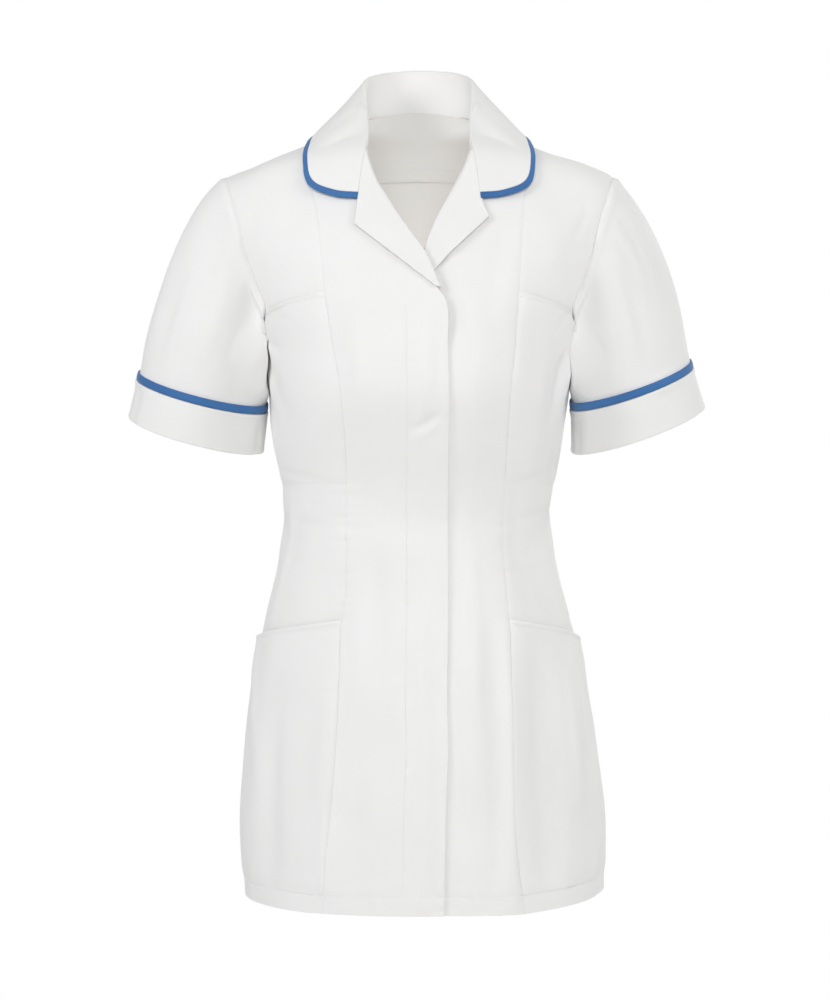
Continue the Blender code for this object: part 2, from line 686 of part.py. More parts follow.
def collar_sections(at, leaf_from, leaf_to, leaf_steps, with_stand=True):
    """Mid-wall points of the collar at each place: stand, fold and the chosen stretch of the leaf."""
    rows = full_collar()
    neck, normal = neck_seam(at, rows)
    fold = np.stack([through(rows, "fold_" + axis, at, "at") for axis in "xyz"], axis=-1)
    edge = np.stack([through(rows, "edge_" + axis, at, "at") for axis in "xyz"], axis=-1)
    top = unit(unit(fold - neck) + unit(fold - edge))
    aside = unit(normal - np.sum(normal * top, axis=-1, keepdims=True) * top)
    from_gorge = COLLAR[-1].at - np.abs(at - COLLAR[-1].at)
    wider = smooth_step(from_gorge / COLLAR_FOLD_WIDENS_TO)[:, None]
    radius = REVERS_FOLD + (COLLAR_FOLD - REVERS_FOLD) * wider
    centre = fold - radius * top
    points = []
    if with_stand:
        first = centre - radius * aside
        points += [neck + (first - neck) * t for t in (0, 0.5)]
        for angle in np.radians(FOLD_ANGLES):
            points.append(centre + radius * (math.sin(angle) * top - math.cos(angle) * aside))
    begin = centre + radius * aside
    length = np.linalg.norm(edge - begin, axis=-1, keepdims=True)
    for t in np.linspace(0, 1, leaf_steps + 1):
        run = leaf_from(length) * (1 - t) + leaf_to(length) * t
        share = run / length
        bulge = COLLAR_BULGE * np.sin(math.pi * np.clip(share, 0, 1)) ** 1.5
        point = begin + (edge - begin) * share + aside * bulge
        points.append(raised(point, COLLAR_RISE))
    return np.stack(points, axis=1)


def thickened(middle, half, ring=False):
    """Outer and inner grids either side of a grid of mid-wall points."""
    if ring:
        along = np.roll(middle, -1, axis=1) - np.roll(middle, 1, axis=1)
    else:
        along = np.gradient(middle, axis=1)
    normal = unit(np.cross(np.gradient(middle, axis=0), along))
    return middle + normal * half, middle - normal * half


def whole_length(length):
    return length


def no_length(length):
    return 0 * length


def without_piping(length):
    return length - PIPING_WIDTH


def build_collar(collection):
    at = np.linspace(0, 2 * COLLAR[-1].at, 2 * COLLAR_STEPS + 1)
    leaf = collar_sections(at, no_length, without_piping, COLLAR_LEAF_STEPS)
    leaf = inset(leaf, rows=(5, 5), columns=(2, 1.5))
    wall("collar", *thickened(leaf, WALL / 2), white, collection)
    piping = collar_sections(at, without_piping, whole_length, 2, with_stand=False)
    piping = inset(piping, rows=(5, 5), columns=(1.5, 0))
    wall("collar_piping", *thickened(piping, WALL / 2), blue, collection)


def build_revers(side, collection):
    """Revers: a fold that starts at the front's edge, then the lapel lying on the front up to the collar."""
    roll, outward, reach = revers_frame(side)
    low = -WALL / 2
    points = [(REVERS_FOLD + REVERS_STAND * (1 - t) + 0 * reach, low) for t in (0, 0.5)]
    for angle in np.radians(FOLD_ANGLES):
        height = low + REVERS_FOLD * (1 - math.cos(angle))
        points.append((REVERS_FOLD * (1 - math.sin(angle)) + 0 * reach, height))
    top_of_fold = low + 2 * REVERS_FOLD
    for t in np.linspace(0, 1, REVERS_STEPS + 1):
        away = REVERS_FOLD + (reach - REVERS_FOLD) * t
        settled = smooth_step((away - REVERS_FOLD) / REVERS_SETTLES)
        points.append((away, top_of_fold + (REVERS_RISE - top_of_fold) * settled))
    columns = []
    for away, height in points:
        x, z = (roll + outward * away[:, None]).T
        columns.append(on_torso(turn_at(x, z), z, height + lap(side, x, z)))
    middle = np.stack(columns, axis=1)
    gorge_at = 0.0 if side == "right" else 2.0 * COLLAR[-1].at
    gorge = collar_sections(np.array([gorge_at]), no_length, whole_length, REVERS_STEPS)[0]
    middle = middle + (gorge - middle[-1]) * to_gorge(len(middle))[:, None, None]
    middle = inset(middle, rows=(0, 4), columns=(2, 0))
    wall("revers_" + side, *thickened(middle, WALL / 2), white, collection)


def up_the_columns(grid, at):
    """Points of a grid read at fractional rows, column by column."""
    row = np.clip(at.astype(int), 0, len(grid) - 2)
    column = np.arange(grid.shape[1])[None, :]
    share = (at - row)[..., None]
    return grid[row, column] * (1 - share) + grid[row + 1, column] * share


def build_facing(collection):
    """Shaped band inside the back neck, made from the back's own points moved in."""
    turn, z = back_grid()
    ends = slice(PANEL_STEPS - FACING_REACH, turn.shape[1] - PANEL_STEPS + FACING_REACH)
    turn, z = turn[:, ends], z[:, ends]
    share = np.linspace(-1, 1, turn.shape[1])
    depth = FACING_ROWS.side + (FACING_ROWS.centre - FACING_ROWS.side) * (1 - np.abs(share) ** 3)
    below_top = np.stack([depth] + [row + 0 * depth for row in (3, 2, 1, FACING_ROWS.below_seam)])
    at = len(turn) - 1 - below_top
    under = -WALL - FACING_GAP
    outer = up_the_columns(on_cloth(turn, z, under, back=True), at)
    inner = up_the_columns(on_cloth(turn, z, under - WALL, back=True), at)
    wall("back_neck_facing", inset(outer), inset(inner), white, collection)


def cuff_ring(side, ring, steps, smaller=0.0, down=0.0):
    """Ring round the arm: from the underarm over the front to the outside and back."""
    sign = SIDES[side]
    tilt = math.radians(ring.tilt)
    drop = math.radians(RING_FRONT_DROP)
    inner = np.array([-sign * math.cos(tilt), 0, -math.sin(tilt)])
    front = np.array([0, -math.cos(drop), -math.sin(drop)])
    angle = np.linspace(0, 2 * math.pi, steps, endpoint=False)[:, None]
    centre = np.array([ring.x, ring.y, ring.z]) + arm_axis(side) * down
    across = inner * np.cos(angle) * (ring.half - smaller)
    return centre + across + front * np.sin(angle) * (ring.depth - smaller)


def arm_axis(side):
    top, bottom = CUFF_TOP[side], CUFF_BOTTOM[side]
    return unit(np.array([bottom.x - top.x, bottom.y - top.y, bottom.z - top.z]))


def ring_normal(rings):
    """Normals of a tube's rings, pointing out of the tube."""
    around = np.roll(rings, -1, axis=1) - np.roll(rings, 1, axis=1)
    normal = unit(np.cross(np.gradient(rings, axis=0), around))
    outward = rings - rings.mean(axis=1, keepdims=True)
    return normal * np.sign(np.sum(normal * outward, axis=(1, 2), keepdims=True))


def sleeve_rings(side):
    """Rings of the sleeve's outer face, from the armhole to its tucked end inside the cuff."""
    sign = SIDES[side]
    underarm = len(lower_heights("side")) - 1
    loops = []
    for back in (False, True):
        turn, z = side_line(side, back)
        turn, z = turn[underarm:], z[underarm:]
        loops.append((on_cloth(turn, z, 0.0, back), torso_normal(turn, z, back)))
    seam = np.concatenate([loops[0][0], loops[1][0][-2:0:-1]])
    normal = np.concatenate([loops[0][1], loops[1][1][-2:0:-1]])
    count = len(seam)
    along = np.roll(seam, -1, axis=0) - np.roll(seam, 1, axis=0)
    into_hole = unit(sign * np.cross(along, normal))
    upper = (1 - np.cos(np.linspace(0, 2 * math.pi, count, endpoint=False)))[:, None] / 2
    ring_step = np.arange(count)[:, None]
    on_front = smooth_step((POCKET_STEPS[0] - ring_step) / 2)
    on_back = smooth_step((ring_step - count + POCKET_STEPS[1]) / 2)
    first = seam + unit(upper * into_hole + (1 - upper) * normal) * SLEEVE_GAP
    first = first + normal * (WALL + SEAM_GAP) * (on_front + on_back)
    last = cuff_ring(
        side, CUFF_TOP[side], count, CUFF_STANDS_PROUD + CUFF_PIPING_TAPER, -CUFF_PIPING_WIDTH
    )
    (low_out, low_up), (high_out, high_up) = SLEEVE_LEAVES
    out, up = low_out + (high_out - low_out) * upper, low_up + (high_up - low_up) * upper
    leave = unit(np.concatenate([sign * out, 0 * out, up], axis=1))
    leave = leave * (SLEEVE_LEAD_IN[0] * (1 - upper) + SLEEVE_LEAD_IN[1] * upper)
    arrive = arm_axis(side) * (SLEEVE_LEAD_OUT[0] * (1 - upper) + SLEEVE_LEAD_OUT[1] * upper)
    rings = []
    for s in SLEEVE_ROWS:
        place = first * (1 + 2 * s) * (1 - s) ** 2 + leave * s * (1 - s) ** 2
        rings.append(place + last * s * s * (3 - 2 * s) - arrive * s * s * (1 - s))
    rings.append(cuff_ring(side, CUFF_TOP[side], count, CUFF_STANDS_PROUD))
    rings.append(cuff_ring(side, CUFF_TOP[side], count, CUFF_STANDS_PROUD, SLEEVE_TUCK))
    rings = np.array(rings)
    shaped = len(SLEEVE_ROWS)
    rings[:shaped] += ring_normal(rings)[:shaped] * sleeve_folds(side, count)[..., None]
    rings[:shaped] = beside_body(rings[:shaped], upper[:, 0])
    return rings


def beside_body(rings, upper):
    """Draws the inner side of a sleeve to its clearance from the body, between the armhole and the cuff."""
    s = np.array(SLEEVE_ROWS)[:, None]
    start, full, fade, end = SLEEVE_DRAWN_ROWS
    along = smooth_step((s - start) / (full - start)) * smooth_step((end - s) / (end - fade))
    for _ in range(2):
        height, away = above_torso(rings)
        spare = height - SLEEVE_CLEARANCE
        near = smooth_step(1 - spare / SLEEVE_DRAWN_WITHIN) * along * smooth_step(2 - 4 * upper)
        rings = rings - away * (spare * near)[..., None]
    return rings


def sleeve_folds(side, count):
    """Height of a sleeve's folds at its rings, nothing at the armhole and at the piping."""
    s = np.array(SLEEVE_ROWS)[:, None]
    angle = np.linspace(0, 2 * math.pi, count, endpoint=False)[None, :]
    height = np.zeros((len(SLEEVE_ROWS), count))
    for fold in SLEEVE_FOLDS[side]:
        away = np.abs(np.mod(angle - math.radians(fold.angle) + math.pi, 2 * math.pi) - math.pi)
        stretch = np.clip((s - fold.start) / (fold.end - fold.start), 0, 1)
        height += fold.depth * np.sin(math.pi * stretch) * smooth_step(1 - away / math.radians(fold.width))
    return height


def build_sleeve(side, collection):
    rings = sleeve_rings(side)
    normal = ring_normal(rings)
    wall("sleeve_" + side, rings, rings - normal * WALL, white, collection, ring=True)
    band, band_normal = rings[-3:-1], normal[-3:-1]
    low = inset(band + band_normal * SEAM_GAP, rows=(1, 1), columns=(0, 0))
    high = inset(band + band_normal * (SEAM_GAP + WALL), rows=(1, 1), columns=(0, 0))
    wall("cuff_piping_" + side, high, low, blue, collection, ring=True)
    top = cuff_ring(side, CUFF_TOP[side], rings.shape[1])
    bottom = cuff_ring(side, CUFF_BOTTOM[side], rings.shape[1])
    cuff = np.array([top + (bottom - top) * t for t in np.linspace(0, 1, CUFF_STEPS + 1)])
    cuff = inset(cuff, rows=(2, 0), columns=(0, 0))
    wall("cuff_" + side, cuff, cuff - ring_normal(cuff) * WALL, white, collection, ring=True)


def main():
    start()
    collection = bpy.data.collections.new(COLLECTION)
    bpy.context.scene.collection.children.link(collection)
    for side in SIDES:
        panel("front_centre_" + side, front_grid(side), collection, side)
        panel("front_side_" + side, side_grid(side), collection)
        hip = row_of("hem_stitch"), row_of("hip_pocket_top")
        pocket("hip_pocket_" + side, side, *hip, collection, HIP_POCKET_GAPE)
        breast = row_of("breast_pocket_bottom"), row_of("underarm") + ROWS_TO_POCKET_TOP
        pocket("breast_pocket_" + side, side, *breast, collection, 0.0)
        build_revers(side, collection)
        build_sleeve(side, collection)
    panel("back", back_grid(), collection, back=True)
    build_facing(collection)
    build_collar(collection)


main()
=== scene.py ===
"""Looks of the medical tunic: its cloth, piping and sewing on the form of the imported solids.

The cloth is worked out from the same sections and seams as the solids, in finer steps, with the smaller
creases, seams and stitches on it. Metres, +Z up, the front faces -Y, the wearer's left is +X.
"""

import math
from collections import namedtuple

import bpy
import numpy as np
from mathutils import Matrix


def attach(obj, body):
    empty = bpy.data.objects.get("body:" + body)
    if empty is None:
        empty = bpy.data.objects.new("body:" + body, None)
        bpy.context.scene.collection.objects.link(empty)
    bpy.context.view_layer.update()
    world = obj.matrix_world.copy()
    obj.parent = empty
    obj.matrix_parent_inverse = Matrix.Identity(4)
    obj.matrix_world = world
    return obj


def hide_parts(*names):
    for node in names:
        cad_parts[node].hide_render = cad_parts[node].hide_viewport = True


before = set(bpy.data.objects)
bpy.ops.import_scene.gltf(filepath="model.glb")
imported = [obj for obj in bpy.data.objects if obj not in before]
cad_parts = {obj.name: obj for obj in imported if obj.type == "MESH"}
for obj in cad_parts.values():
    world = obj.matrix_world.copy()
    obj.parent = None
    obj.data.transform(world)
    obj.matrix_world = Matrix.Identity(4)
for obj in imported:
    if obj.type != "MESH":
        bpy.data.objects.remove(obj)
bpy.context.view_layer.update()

SIDES = {"right": -1, "left": 1}


def table(kind, *rows):
    """Rows of one kind, whose values are read by the names of the kind's columns."""
    return [kind(*row) for row in rows]


# Camera, level with the middle of the garment and straight in front of it, and what stands round it
CAMERA = (-0.00384, -2.6, -0.3552)
LENS = 97.5
FLOOR_Z = -1.38
FLOOR_RADIUS = 2.5
FLOOR_CORNERS = 96
BACKDROP_Y = 6.0
BACKDROP_HALF = (2.4, 2.6)
WORLD_STRENGTH = 0.32
AIM = (0.0, 0.0, -0.35)
NECK = (0.0, 0.09, -0.13)
WHITE_LIGHT = (1.0, 1.0, 1.0)
COOL_LIGHT = (0.985, 0.985, 1.0)
WARM_LIGHT = (1.0, 0.95, 0.88)
Light = namedtuple("Light", "name x y z width height power aim colour")
LIGHTS = table(
    Light,
    ("key", -2.4, -1.5, 1.1, 1.0, 1.4, 32, AIM, COOL_LIGHT),
    ("front", 0.0, -3.2, 0.8, 1.6, 1.0, 36, AIM, WHITE_LIGHT),
    ("fill", 2.6, -1.3, 0.9, 1.2, 1.6, 25.5, AIM, WHITE_LIGHT),
    ("back_left", 1.9, 2.1, 0.9, 1.2, 1.6, 25, AIM, WHITE_LIGHT),
    ("back_right", -1.4, 2.5, 0.4, 1.2, 1.6, 12, AIM, WHITE_LIGHT),
    ("neck", 0.0, -0.03, -0.27, 0.08, 0.08, 0.13, NECK, WARM_LIGHT),
)

# Woven cloths: tones, ribs of the weave, depths of weave and crumpling, sheen
Weave = namedtuple("Weave", "dark light ribs weave_depth crumple_depth sheen")
WEAVES = {
    "white_cloth": Weave((0.875, 0.872, 0.862, 1), (0.90, 0.897, 0.889, 1), 380, 0.00006, 0.0009, 0.12),
    "blue_piping": Weave((0.036, 0.135, 0.36, 1), (0.078, 0.220, 0.49, 1), 420, 0.0001, 0.0004, 0.2),
}
CLOTH_ROUGHNESS = 0.82
RIB_SLOPE = 63
THREAD_DARK = (0.86, 0.86, 0.855, 1)
THREAD_LIGHT = (0.90, 0.90, 0.895, 1)
TONES_AT = (0.3, 0.7)
FLOOR_TONE = (0.86, 0.86, 0.86, 1)

# Cloth: its thickness, the space under what lies on it, and how its edges close
WALL = 0.0012
CLOTH = 0.0010
SEWN_GAP = 0.00003
LIE_GAP = 0.0003
ROUNDING = 0.00020
THINNEST_ROUNDING = 0.45
CLOSING = 0.9
EDGE_STEPS = np.array([0.0, 0.00015, 0.00045, 0.0010, 0.0018, 0.0030, 0.0050])
CLOSE_ROWS = np.array([0, 0.06, 0.17, 0.35, 0.6])
ADDED_ROWS = len(CLOSE_ROWS) - 1
CLOSE_COLUMNS = np.array([0, 0.04, 0.12, 0.25, 0.45, 0.7])

# Driving heights
NECK_POINT_X = 0.066
SHOULDER_TIP_Z = -0.046
UNDERARM_Z = -0.200
GORGE_Z = -0.025

# Torso sections from hem to nape: half width, sideways shift, place of the side seam, depths and roundness
Section = namedtuple("Section", "z half mid side_y front back power")
TORSO = table(
    Section,
    (-0.74, 0.1712, 0.0062, 0.005, 0.13, 0.12, 2.3),
    (-0.7, 0.1718, 0.0052, 0.005, 0.131, 0.121, 2.3),
    (-0.65, 0.1712, 0.0032, 0.005, 0.132, 0.124, 2.3),
    (-0.6, 0.1672, 0.0018, 0.005, 0.133, 0.126, 2.3),
    (-0.553, 0.1627, 0.0005, 0.005, 0.132, 0.124, 2.3),
    (-0.5, 0.154, -0.0005, 0.005, 0.127, 0.115, 2.3),
    (-0.45, 0.1413, -0.0028, 0.005, 0.121, 0.102, 2.3),
    (-0.41, 0.1306, -0.0038, 0.005, 0.117, 0.0935, 2.25),
    (-0.375, 0.1276, -0.0025, 0.005, 0.115, 0.09, 2.2),
    (-0.345, 0.1293, -0.0008, 0.005, 0.12, 0.092, 2.2),
    (-0.3, 0.1376, -0.0006, 0.005, 0.134, 0.0985, 2.2),
    (-0.25, 0.1443, 0, 0.005, 0.146, 0.105, 2.25),
    (-0.2, 0.15, 0, 0.005, 0.134, 0.111, 2.3),
    (-0.18, 0.1572, 0, 0.005, 0.1265, 0.1122, 2.3),
    (-0.16, 0.167, 0, 0.005, 0.118, 0.113, 2.3),
    (-0.13, 0.187, 0, 0.004, 0.106, 0.112, 2.25),
    (-0.1, 0.207, 0, 0.003, 0.094, 0.11, 2.2),
    (-0.08, 0.212, 0, 0.002, 0.083, 0.108, 2.15),
    (-0.06, 0.205, 0, 0.001, 0.074, 0.104, 2.1),
    (-0.046, 0.185, 0, 0, 0.068, 0.101, 2.1),
    (-0.026, 0.1333, 0, 0, 0.0574, 0.0945, 2.1),
    (-0.016, 0.1074, 0, 0, 0.046, 0.091, 2.1),
    (-0.008, 0.0867, 0, 0, 0.034, 0.0875, 2.1),
    (0, 0.066, 0, 0, 0.024, 0.083, 2.1),
    (0.012, 0.061, 0, 0, 0.018, 0.077, 2.1),
    (0.03, 0.054, 0, 0, 0.012, 0.066, 2.1),
)

# Princess seams of the front, from hem to shoulder
Princess = namedtuple("Princess", "z right left")
PRINCESS = table(
    Princess,
    (-0.74, -0.09, 0.098),
    (-0.7145, -0.0882, 0.0945),
    (-0.667, -0.084, 0.0885),
    (-0.6, -0.0782, 0.086),
    (-0.53, -0.0742, 0.0845),
    (-0.466, -0.0722, 0.0828),
    (-0.44, -0.0685, 0.0808),
    (-0.4, -0.0677, 0.078),
    (-0.34, -0.0675, 0.08),
    (-0.29, -0.069, 0.0815),
    (-0.25, -0.0732, 0.0841),
    (-0.2, -0.0817, 0.0892),
    (-0.16, -0.0878, 0.0925),
    (-0.0855, -0.0958, 0.097),
    (-0.0638, -0.1, 0.099),
    (-0.03, -0.104, 0.1035),
    (-0.0153, -0.1055, 0.1055),
)

# Front edge of each front below its break point, from the hem up; the left front lies under the right one
Edge = namedtuple("Edge", "z x")
PLACKET = {
    "right": table(
        Edge,
        (-0.74, 0.0228),
        (-0.697, 0.0237),
        (-0.64, 0.0246),
        (-0.58, 0.0265),
        (-0.535, 0.0257),
        (-0.49, 0.0265),
        (-0.33, 0.0267),
        (-0.264, 0.0274),
        (-0.214, 0.0265),
        (-0.1715, 0.0245),
        (-0.1595, 0.0193),
    ),
    "left": table(Edge, (-0.74, -0.017), (-0.19, -0.017), (-0.1637, -0.013)),
}

# Roll line of each revers, from the break point up to the gorge
ROLL = {
    "right": table(
        Edge,
        (-0.1595, 0.0193),
        (-0.1235, 0.0037),
        (-0.1015, -0.012),
        (-0.077, -0.0279),
        (-0.0426, -0.0449),
        (-0.025, -0.049),
    ),
    "left": table(
        Edge,
        (-0.1637, -0.013),
        (-0.1234, 0.0042),
        (-0.0897, 0.0186),
        (-0.0591, 0.0346),
        (-0.0438, 0.0422),
        (-0.025, 0.049),
    ),
}
REVERS_TIP = {"right": (-0.0601, -0.0996), "left": (0.0648, -0.0924)}
REVERS_FOLD = 0.0012
REVERS_STAND = 0.0015
REVERS_RISE = 0.0026
REVERS_TIP_AT = 4 / 6
REVERS_START = 0.004
REVERS_SETTLES = 0.020
REVERS_DRAWN_IN = 0.0002
REVERS_GORGE_GAP = 0.0004
REVERS_UNEVEN = 0.5
REVERS_SMOOTH = 0.008
LAPEL_SHARES = np.concatenate([np.linspace(0, 0.94, 22), [0.965, 0.98, 0.99, 0.996, 1.0]])

# The left front sinks under the right one before its edge, and deeper towards the break point
LAP_LEAD = 0.026
LAP_WIDTH = 0.022
LAP_DEPTHS = (0.0022, 0.0058)
LAP_DEEPENS = (-0.225, -0.180)

# Armhole, from the underarm up to the shoulder tip
Armhole = namedtuple("Armhole", "z front back")
ARMHOLE = table(
    Armhole,
    (-0.2, 0.15, 0.15),
    (-0.178, 0.144, 0.153),
    (-0.1545, 0.152, 0.159),
    (-0.14, 0.1565, 0.163),
    (-0.1254, 0.162, 0.167),
    (-0.102, 0.1675, 0.173),
    (-0.086, 0.1715, 0.1765),
    (-0.068, 0.1775, 0.18),
    (-0.056, 0.1815, 0.1825),
    (-0.046, 0.185, 0.185),
)

# Rows that all the panels of the body share: height at the princess seam, at the side, and how many steps
Row = namedtuple("Row", "name princess side steps")
LOWER_ROWS = table(
    Row,
    ("hem", -0.7360, -0.7325, 0),
    ("hem_stitch", -0.7185, -0.7150, 8),
    ("hip_pocket_top", -0.4660, -0.4890, 84),
    ("breast_pocket_bottom", -0.3400, -0.3400, 46),
    ("underarm", -0.1975, UNDERARM_Z, 46),
)
ROW_AT = dict(zip([row.name for row in LOWER_ROWS], np.cumsum([row.steps for row in LOWER_ROWS])))
# The hem rises at the left side seam, from this height down
SIDE_RISE = {"right": 0.0, "left": 0.0110}
SIDE_RISE_FROM = -0.600
ROWS_TO_POCKET_TOP = 14
ROWS_TO_SHOULDER = 46
BREAST_POCKET_TOP = (-0.1630, -0.1790)
ROW_AT["breast_pocket_top"] = ROW_AT["underarm"] + ROWS_TO_POCKET_TOP
ROWS_TO_BREAK = 14
ROWS_OF_ROLL = 30
ROWS_OF_NECK = 16
CENTRE_STEPS = 26
SIDE_STEPS = 20
BACK_SIDE_STEPS = 22
BACK_NECK_STEPS = 22
BACK_NECK_POWER = 1.6
GORGE_POWER = 3
DENSE = 400

# Collar from the gorge to the centre back: neck seam, fold and outer edge of the piping
Collar = namedtuple("Collar", "at neck_x neck_z fold_x fold_y fold_z edge_x edge_y edge_z")
COLLAR = table(
    Collar,
    (0, 0.0516, -0.0262, 0.049, -0.0532, -0.0248, 0.0575, -0.0795, -0.0745),
    (1, 0.0565, -0.0165, 0.0482, -0.042, -0.0135, 0.081, -0.0763, -0.0714),
    (2, 0.0615, -0.0075, 0.048, -0.025, 0.001, 0.1035, -0.0684, -0.0607),
    (3, 0.065, -0.0015, 0.049, -0.008, 0.018, 0.1092, -0.0535, -0.038),
    (4, 0.064, 0.005, 0.0512, 0.01, 0.036, 0.1065, -0.012, -0.013),
    (5, 0.0575, 0.012, 0.0505, 0.03, 0.0515, 0.1, 0.028, -0.01),
    (6, 0.045, 0.018, 0.041, 0.052, 0.0605, 0.082, 0.059, -0.0095),
    (7, 0.025, 0.023, 0.0235, 0.0685, 0.066, 0.048, 0.08, -0.0075),
    (8, 0, 0.025, 0, 0.075, 0.0675, 0, 0.088, -0.005),
)
COLLAR_MIDDLE = COLLAR[-1].at
COLLAR_FOLD = 0.0022
COLLAR_FOLD_WIDENS_TO = 2.5
COLLAR_BULGE = 0.0015
COLLAR_RISE = 0.0026
COLLAR_RISE_BELOW = (0.010, 0.030)
COLLAR_RISE_MOST = 0.01
COLLAR_STEPS = 80
COLLAR_DRAWN_IN = 0.00006
COLLAR_UNEVEN = 0.4
COLLAR_SMOOTH = 0.01
COLLAR_BULGE_POWER = 1.5
NECK_POINT_AT = 3.3
STAND_SHARES = (0, 0.006, 0.02, 0.05, 0.1, 0.2, 0.35, 0.5, 0.65, 0.8, 0.92)
FOLD_ANGLES = np.radians(np.linspace(0, 180, 14)[:-1])
LEAF_SHARES = np.linspace(0, 1, 24)
LEAF_EVEN_TO = 0.0036
LEAF_CLOSE = (0.0022, 0.0012, 0.0005, 0.0001, 0.0)
HALF_WALL = 0.0006
PIPING_WIDTH = 0.0068
PIPING_HALF_WALL = 0.0008
PIPING_CROWN = 0.0003
PIPING_SHARES = (0, 0.02, 0.07, 0.15, 0.3, 0.5, 0.7, 0.85, 0.93, 0.98, 1)

# Back neck facing, in rows of the back's grid below the neck seam
FACING_DEPTH = (17.7, 16.4)
FACING_TOP = -3.8
FACING_ROWS = 30
FACING_PAST_NECK_POINT = 4
FACING_GAP = 0.0004
FACING_WALL = 0.0008
FACING_ROUNDING = 0.0003
FACING_STITCHES = {"facing_edge": 0.0015, "facing_band": 0.0140}
FACING_BAND_ENDS = 0.0150
FACING_BAND_FADES = 0.0008
FACING_BAND_HEIGHT = 0.0004
FACING_LIFT = 0.0021
FACING_LIFTED = 0.012

# Rings at the top and bottom of each cuff: centre, half width across the arm and tilt in degrees
Ring = namedtuple("Ring", "x y z half depth tilt")
CUFF_TOP = {
    "right": Ring(-0.2092, 0.012, -0.2540, 0.0657, 0.0560, 14.4),
    "left": Ring(0.2051, 0.012, -0.2472, 0.0632, 0.0560, 19.0),
}
CUFF_BOTTOM = {
    "right": Ring(-0.2155, 0.016, -0.2910, 0.0678, 0.0580, 15.0),
    "left": Ring(0.2111, 0.016, -0.2868, 0.0688, 0.0580, 19.0),
}
RING_FRONT_DROP = math.radians(12.0)
CUFF_STANDS_PROUD = 0.0022
CUFF_STARTS_BELOW = 0.0001
CUFF_STEPS = 22
CUFF_WALL = 0.0018
CUFF_ROUNDING = 0.0008
CUFF_SMOOTH = 0.01
CUFF_CREASED_FROM = 0.012
CUFF_PIPING_WIDTH = 0.0075
CUFF_PIPING_TAPER = 0.0006
CUFF_PIPING_STARTS_ABOVE = 0.0001
CUFF_PIPING_WALL = 0.0014
CUFF_PIPING_CROWN = 0.0004
CUFF_PIPING_ROUNDING = 0.0006
CUFF_PIPING_UNDER = 0.2
CUFF_PIPING_SHARES = np.array([0, 0.02, 0.07, 0.16, 0.32, 0.5, 0.68, 0.84, 0.93, 0.98, 1])
SLEEVE_TUCK = 0.006
SLEEVE_GAP = 0.00012
SLEEVE_TURNED_IN = 0.0026
SLEEVE_ROWS = np.concatenate([[0, 0.001, 0.003, 0.006, 0.011, 0.018, 0.028], np.linspace(0.04, 1, 64)])
SLEEVE_TAIL = (0.3, 0.65, 1.0)
SLEEVE_PUCKERED_FROM = 0.003
SLEEVE_SMOOTH = 0.012
SLEEVE_EASE_SHARES = (0.3, 1.0)
SLEEVE_SETTLES = (0.08, 0.15)
# At the underarm and at the shoulder: the sleeve's first direction, outwards and up, and how far it is kept
SLEEVE_LEAVES = ((0.25, -0.97), (0.90, -0.47))
SLEEVE_LEAD_IN = (0.05, 0.135)
SLEEVE_LEAD_OUT = (0.05, 0.17)
# Parts of the armhole's circle that a pocket's edge takes up, on the front and on the back
ARMHOLE_PARTS = 24
POCKET_PARTS = (5, 2)
# The sleeve's inner side hangs close to the body: its height above the torso, and what is drawn there
SLEEVE_CLEARANCE = 0.0017
SLEEVE_DRAWN_WITHIN = 0.032
SLEEVE_DRAWN_ROWS = (0.05, 0.30, 0.80, 1.0)

# Folds and creases of the body between two places; the angle runs round from the centre front
Fold = namedtuple("Fold", "angle_a z_a angle_b z_b width depth")
FOLDS = table(
    Fold,
    (-82, -0.205, -60, -0.272, 0.024, -0.004),
    (-88, -0.238, -66, -0.3, 0.022, -0.0028),
    (72, -0.208, 57, -0.262, 0.026, -0.0034),
    (86, -0.236, 68, -0.292, 0.022, -0.0024),
    (-90, -0.372, -58, -0.398, 0.026, -0.0026),
    (90, -0.366, 60, -0.394, 0.026, -0.0026),
    (-48, -0.56, -56, -0.73, 0.04, -0.0034),
    (38, -0.58, 44, -0.73, 0.04, -0.003),
    (70, -0.54, 76, -0.72, 0.04, 0.0024),
    (-80, -0.56, -84, -0.72, 0.036, 0.0022),
    (125, -0.235, 150, -0.3, 0.026, -0.0034),
    (-124, -0.24, -152, -0.306, 0.026, -0.0036),
    (118, -0.362, 158, -0.386, 0.026, -0.003),
    (-120, -0.368, -156, -0.38, 0.026, -0.0028),
    (140, -0.56, 136, -0.73, 0.042, -0.0036),
    (-146, -0.57, -140, -0.73, 0.042, -0.0032),
    (180, -0.6, 176, -0.73, 0.04, 0.0026),
    (100, -0.3, 128, -0.34, 0.012, 0.0014),
    (-100, -0.296, -130, -0.336, 0.012, 0.0014),
    (150, -0.35, 176, -0.366, 0.012, -0.0016),
    (-148, -0.344, -178, -0.352, 0.012, -0.0016),
    (152, -0.398, 178, -0.404, 0.014, 0.0014),
    (-150, -0.388, -177, -0.396, 0.011, 0.0012),
    (130, -0.1, 158, -0.22, 0.02, 0.0014),
    (-130, -0.1, -158, -0.22, 0.02, 0.0014),
    (112, -0.42, 106, -0.64, 0.014, 0.0018),
    (-110, -0.44, -104, -0.66, 0.014, 0.0018),
    (160, -0.45, 164, -0.72, 0.016, 0.0016),
    (-162, -0.47, -158, -0.7, 0.016, -0.0016),
    (124, -0.56, 120, -0.73, 0.014, -0.0018),
    (-126, -0.54, -128, -0.725, 0.014, 0.0016),
    (168, -0.09, 162, -0.26, 0.016, -0.0012),
)
FOLD_RADIUS = 0.14
FOLD_AT_ENDS = 0.35

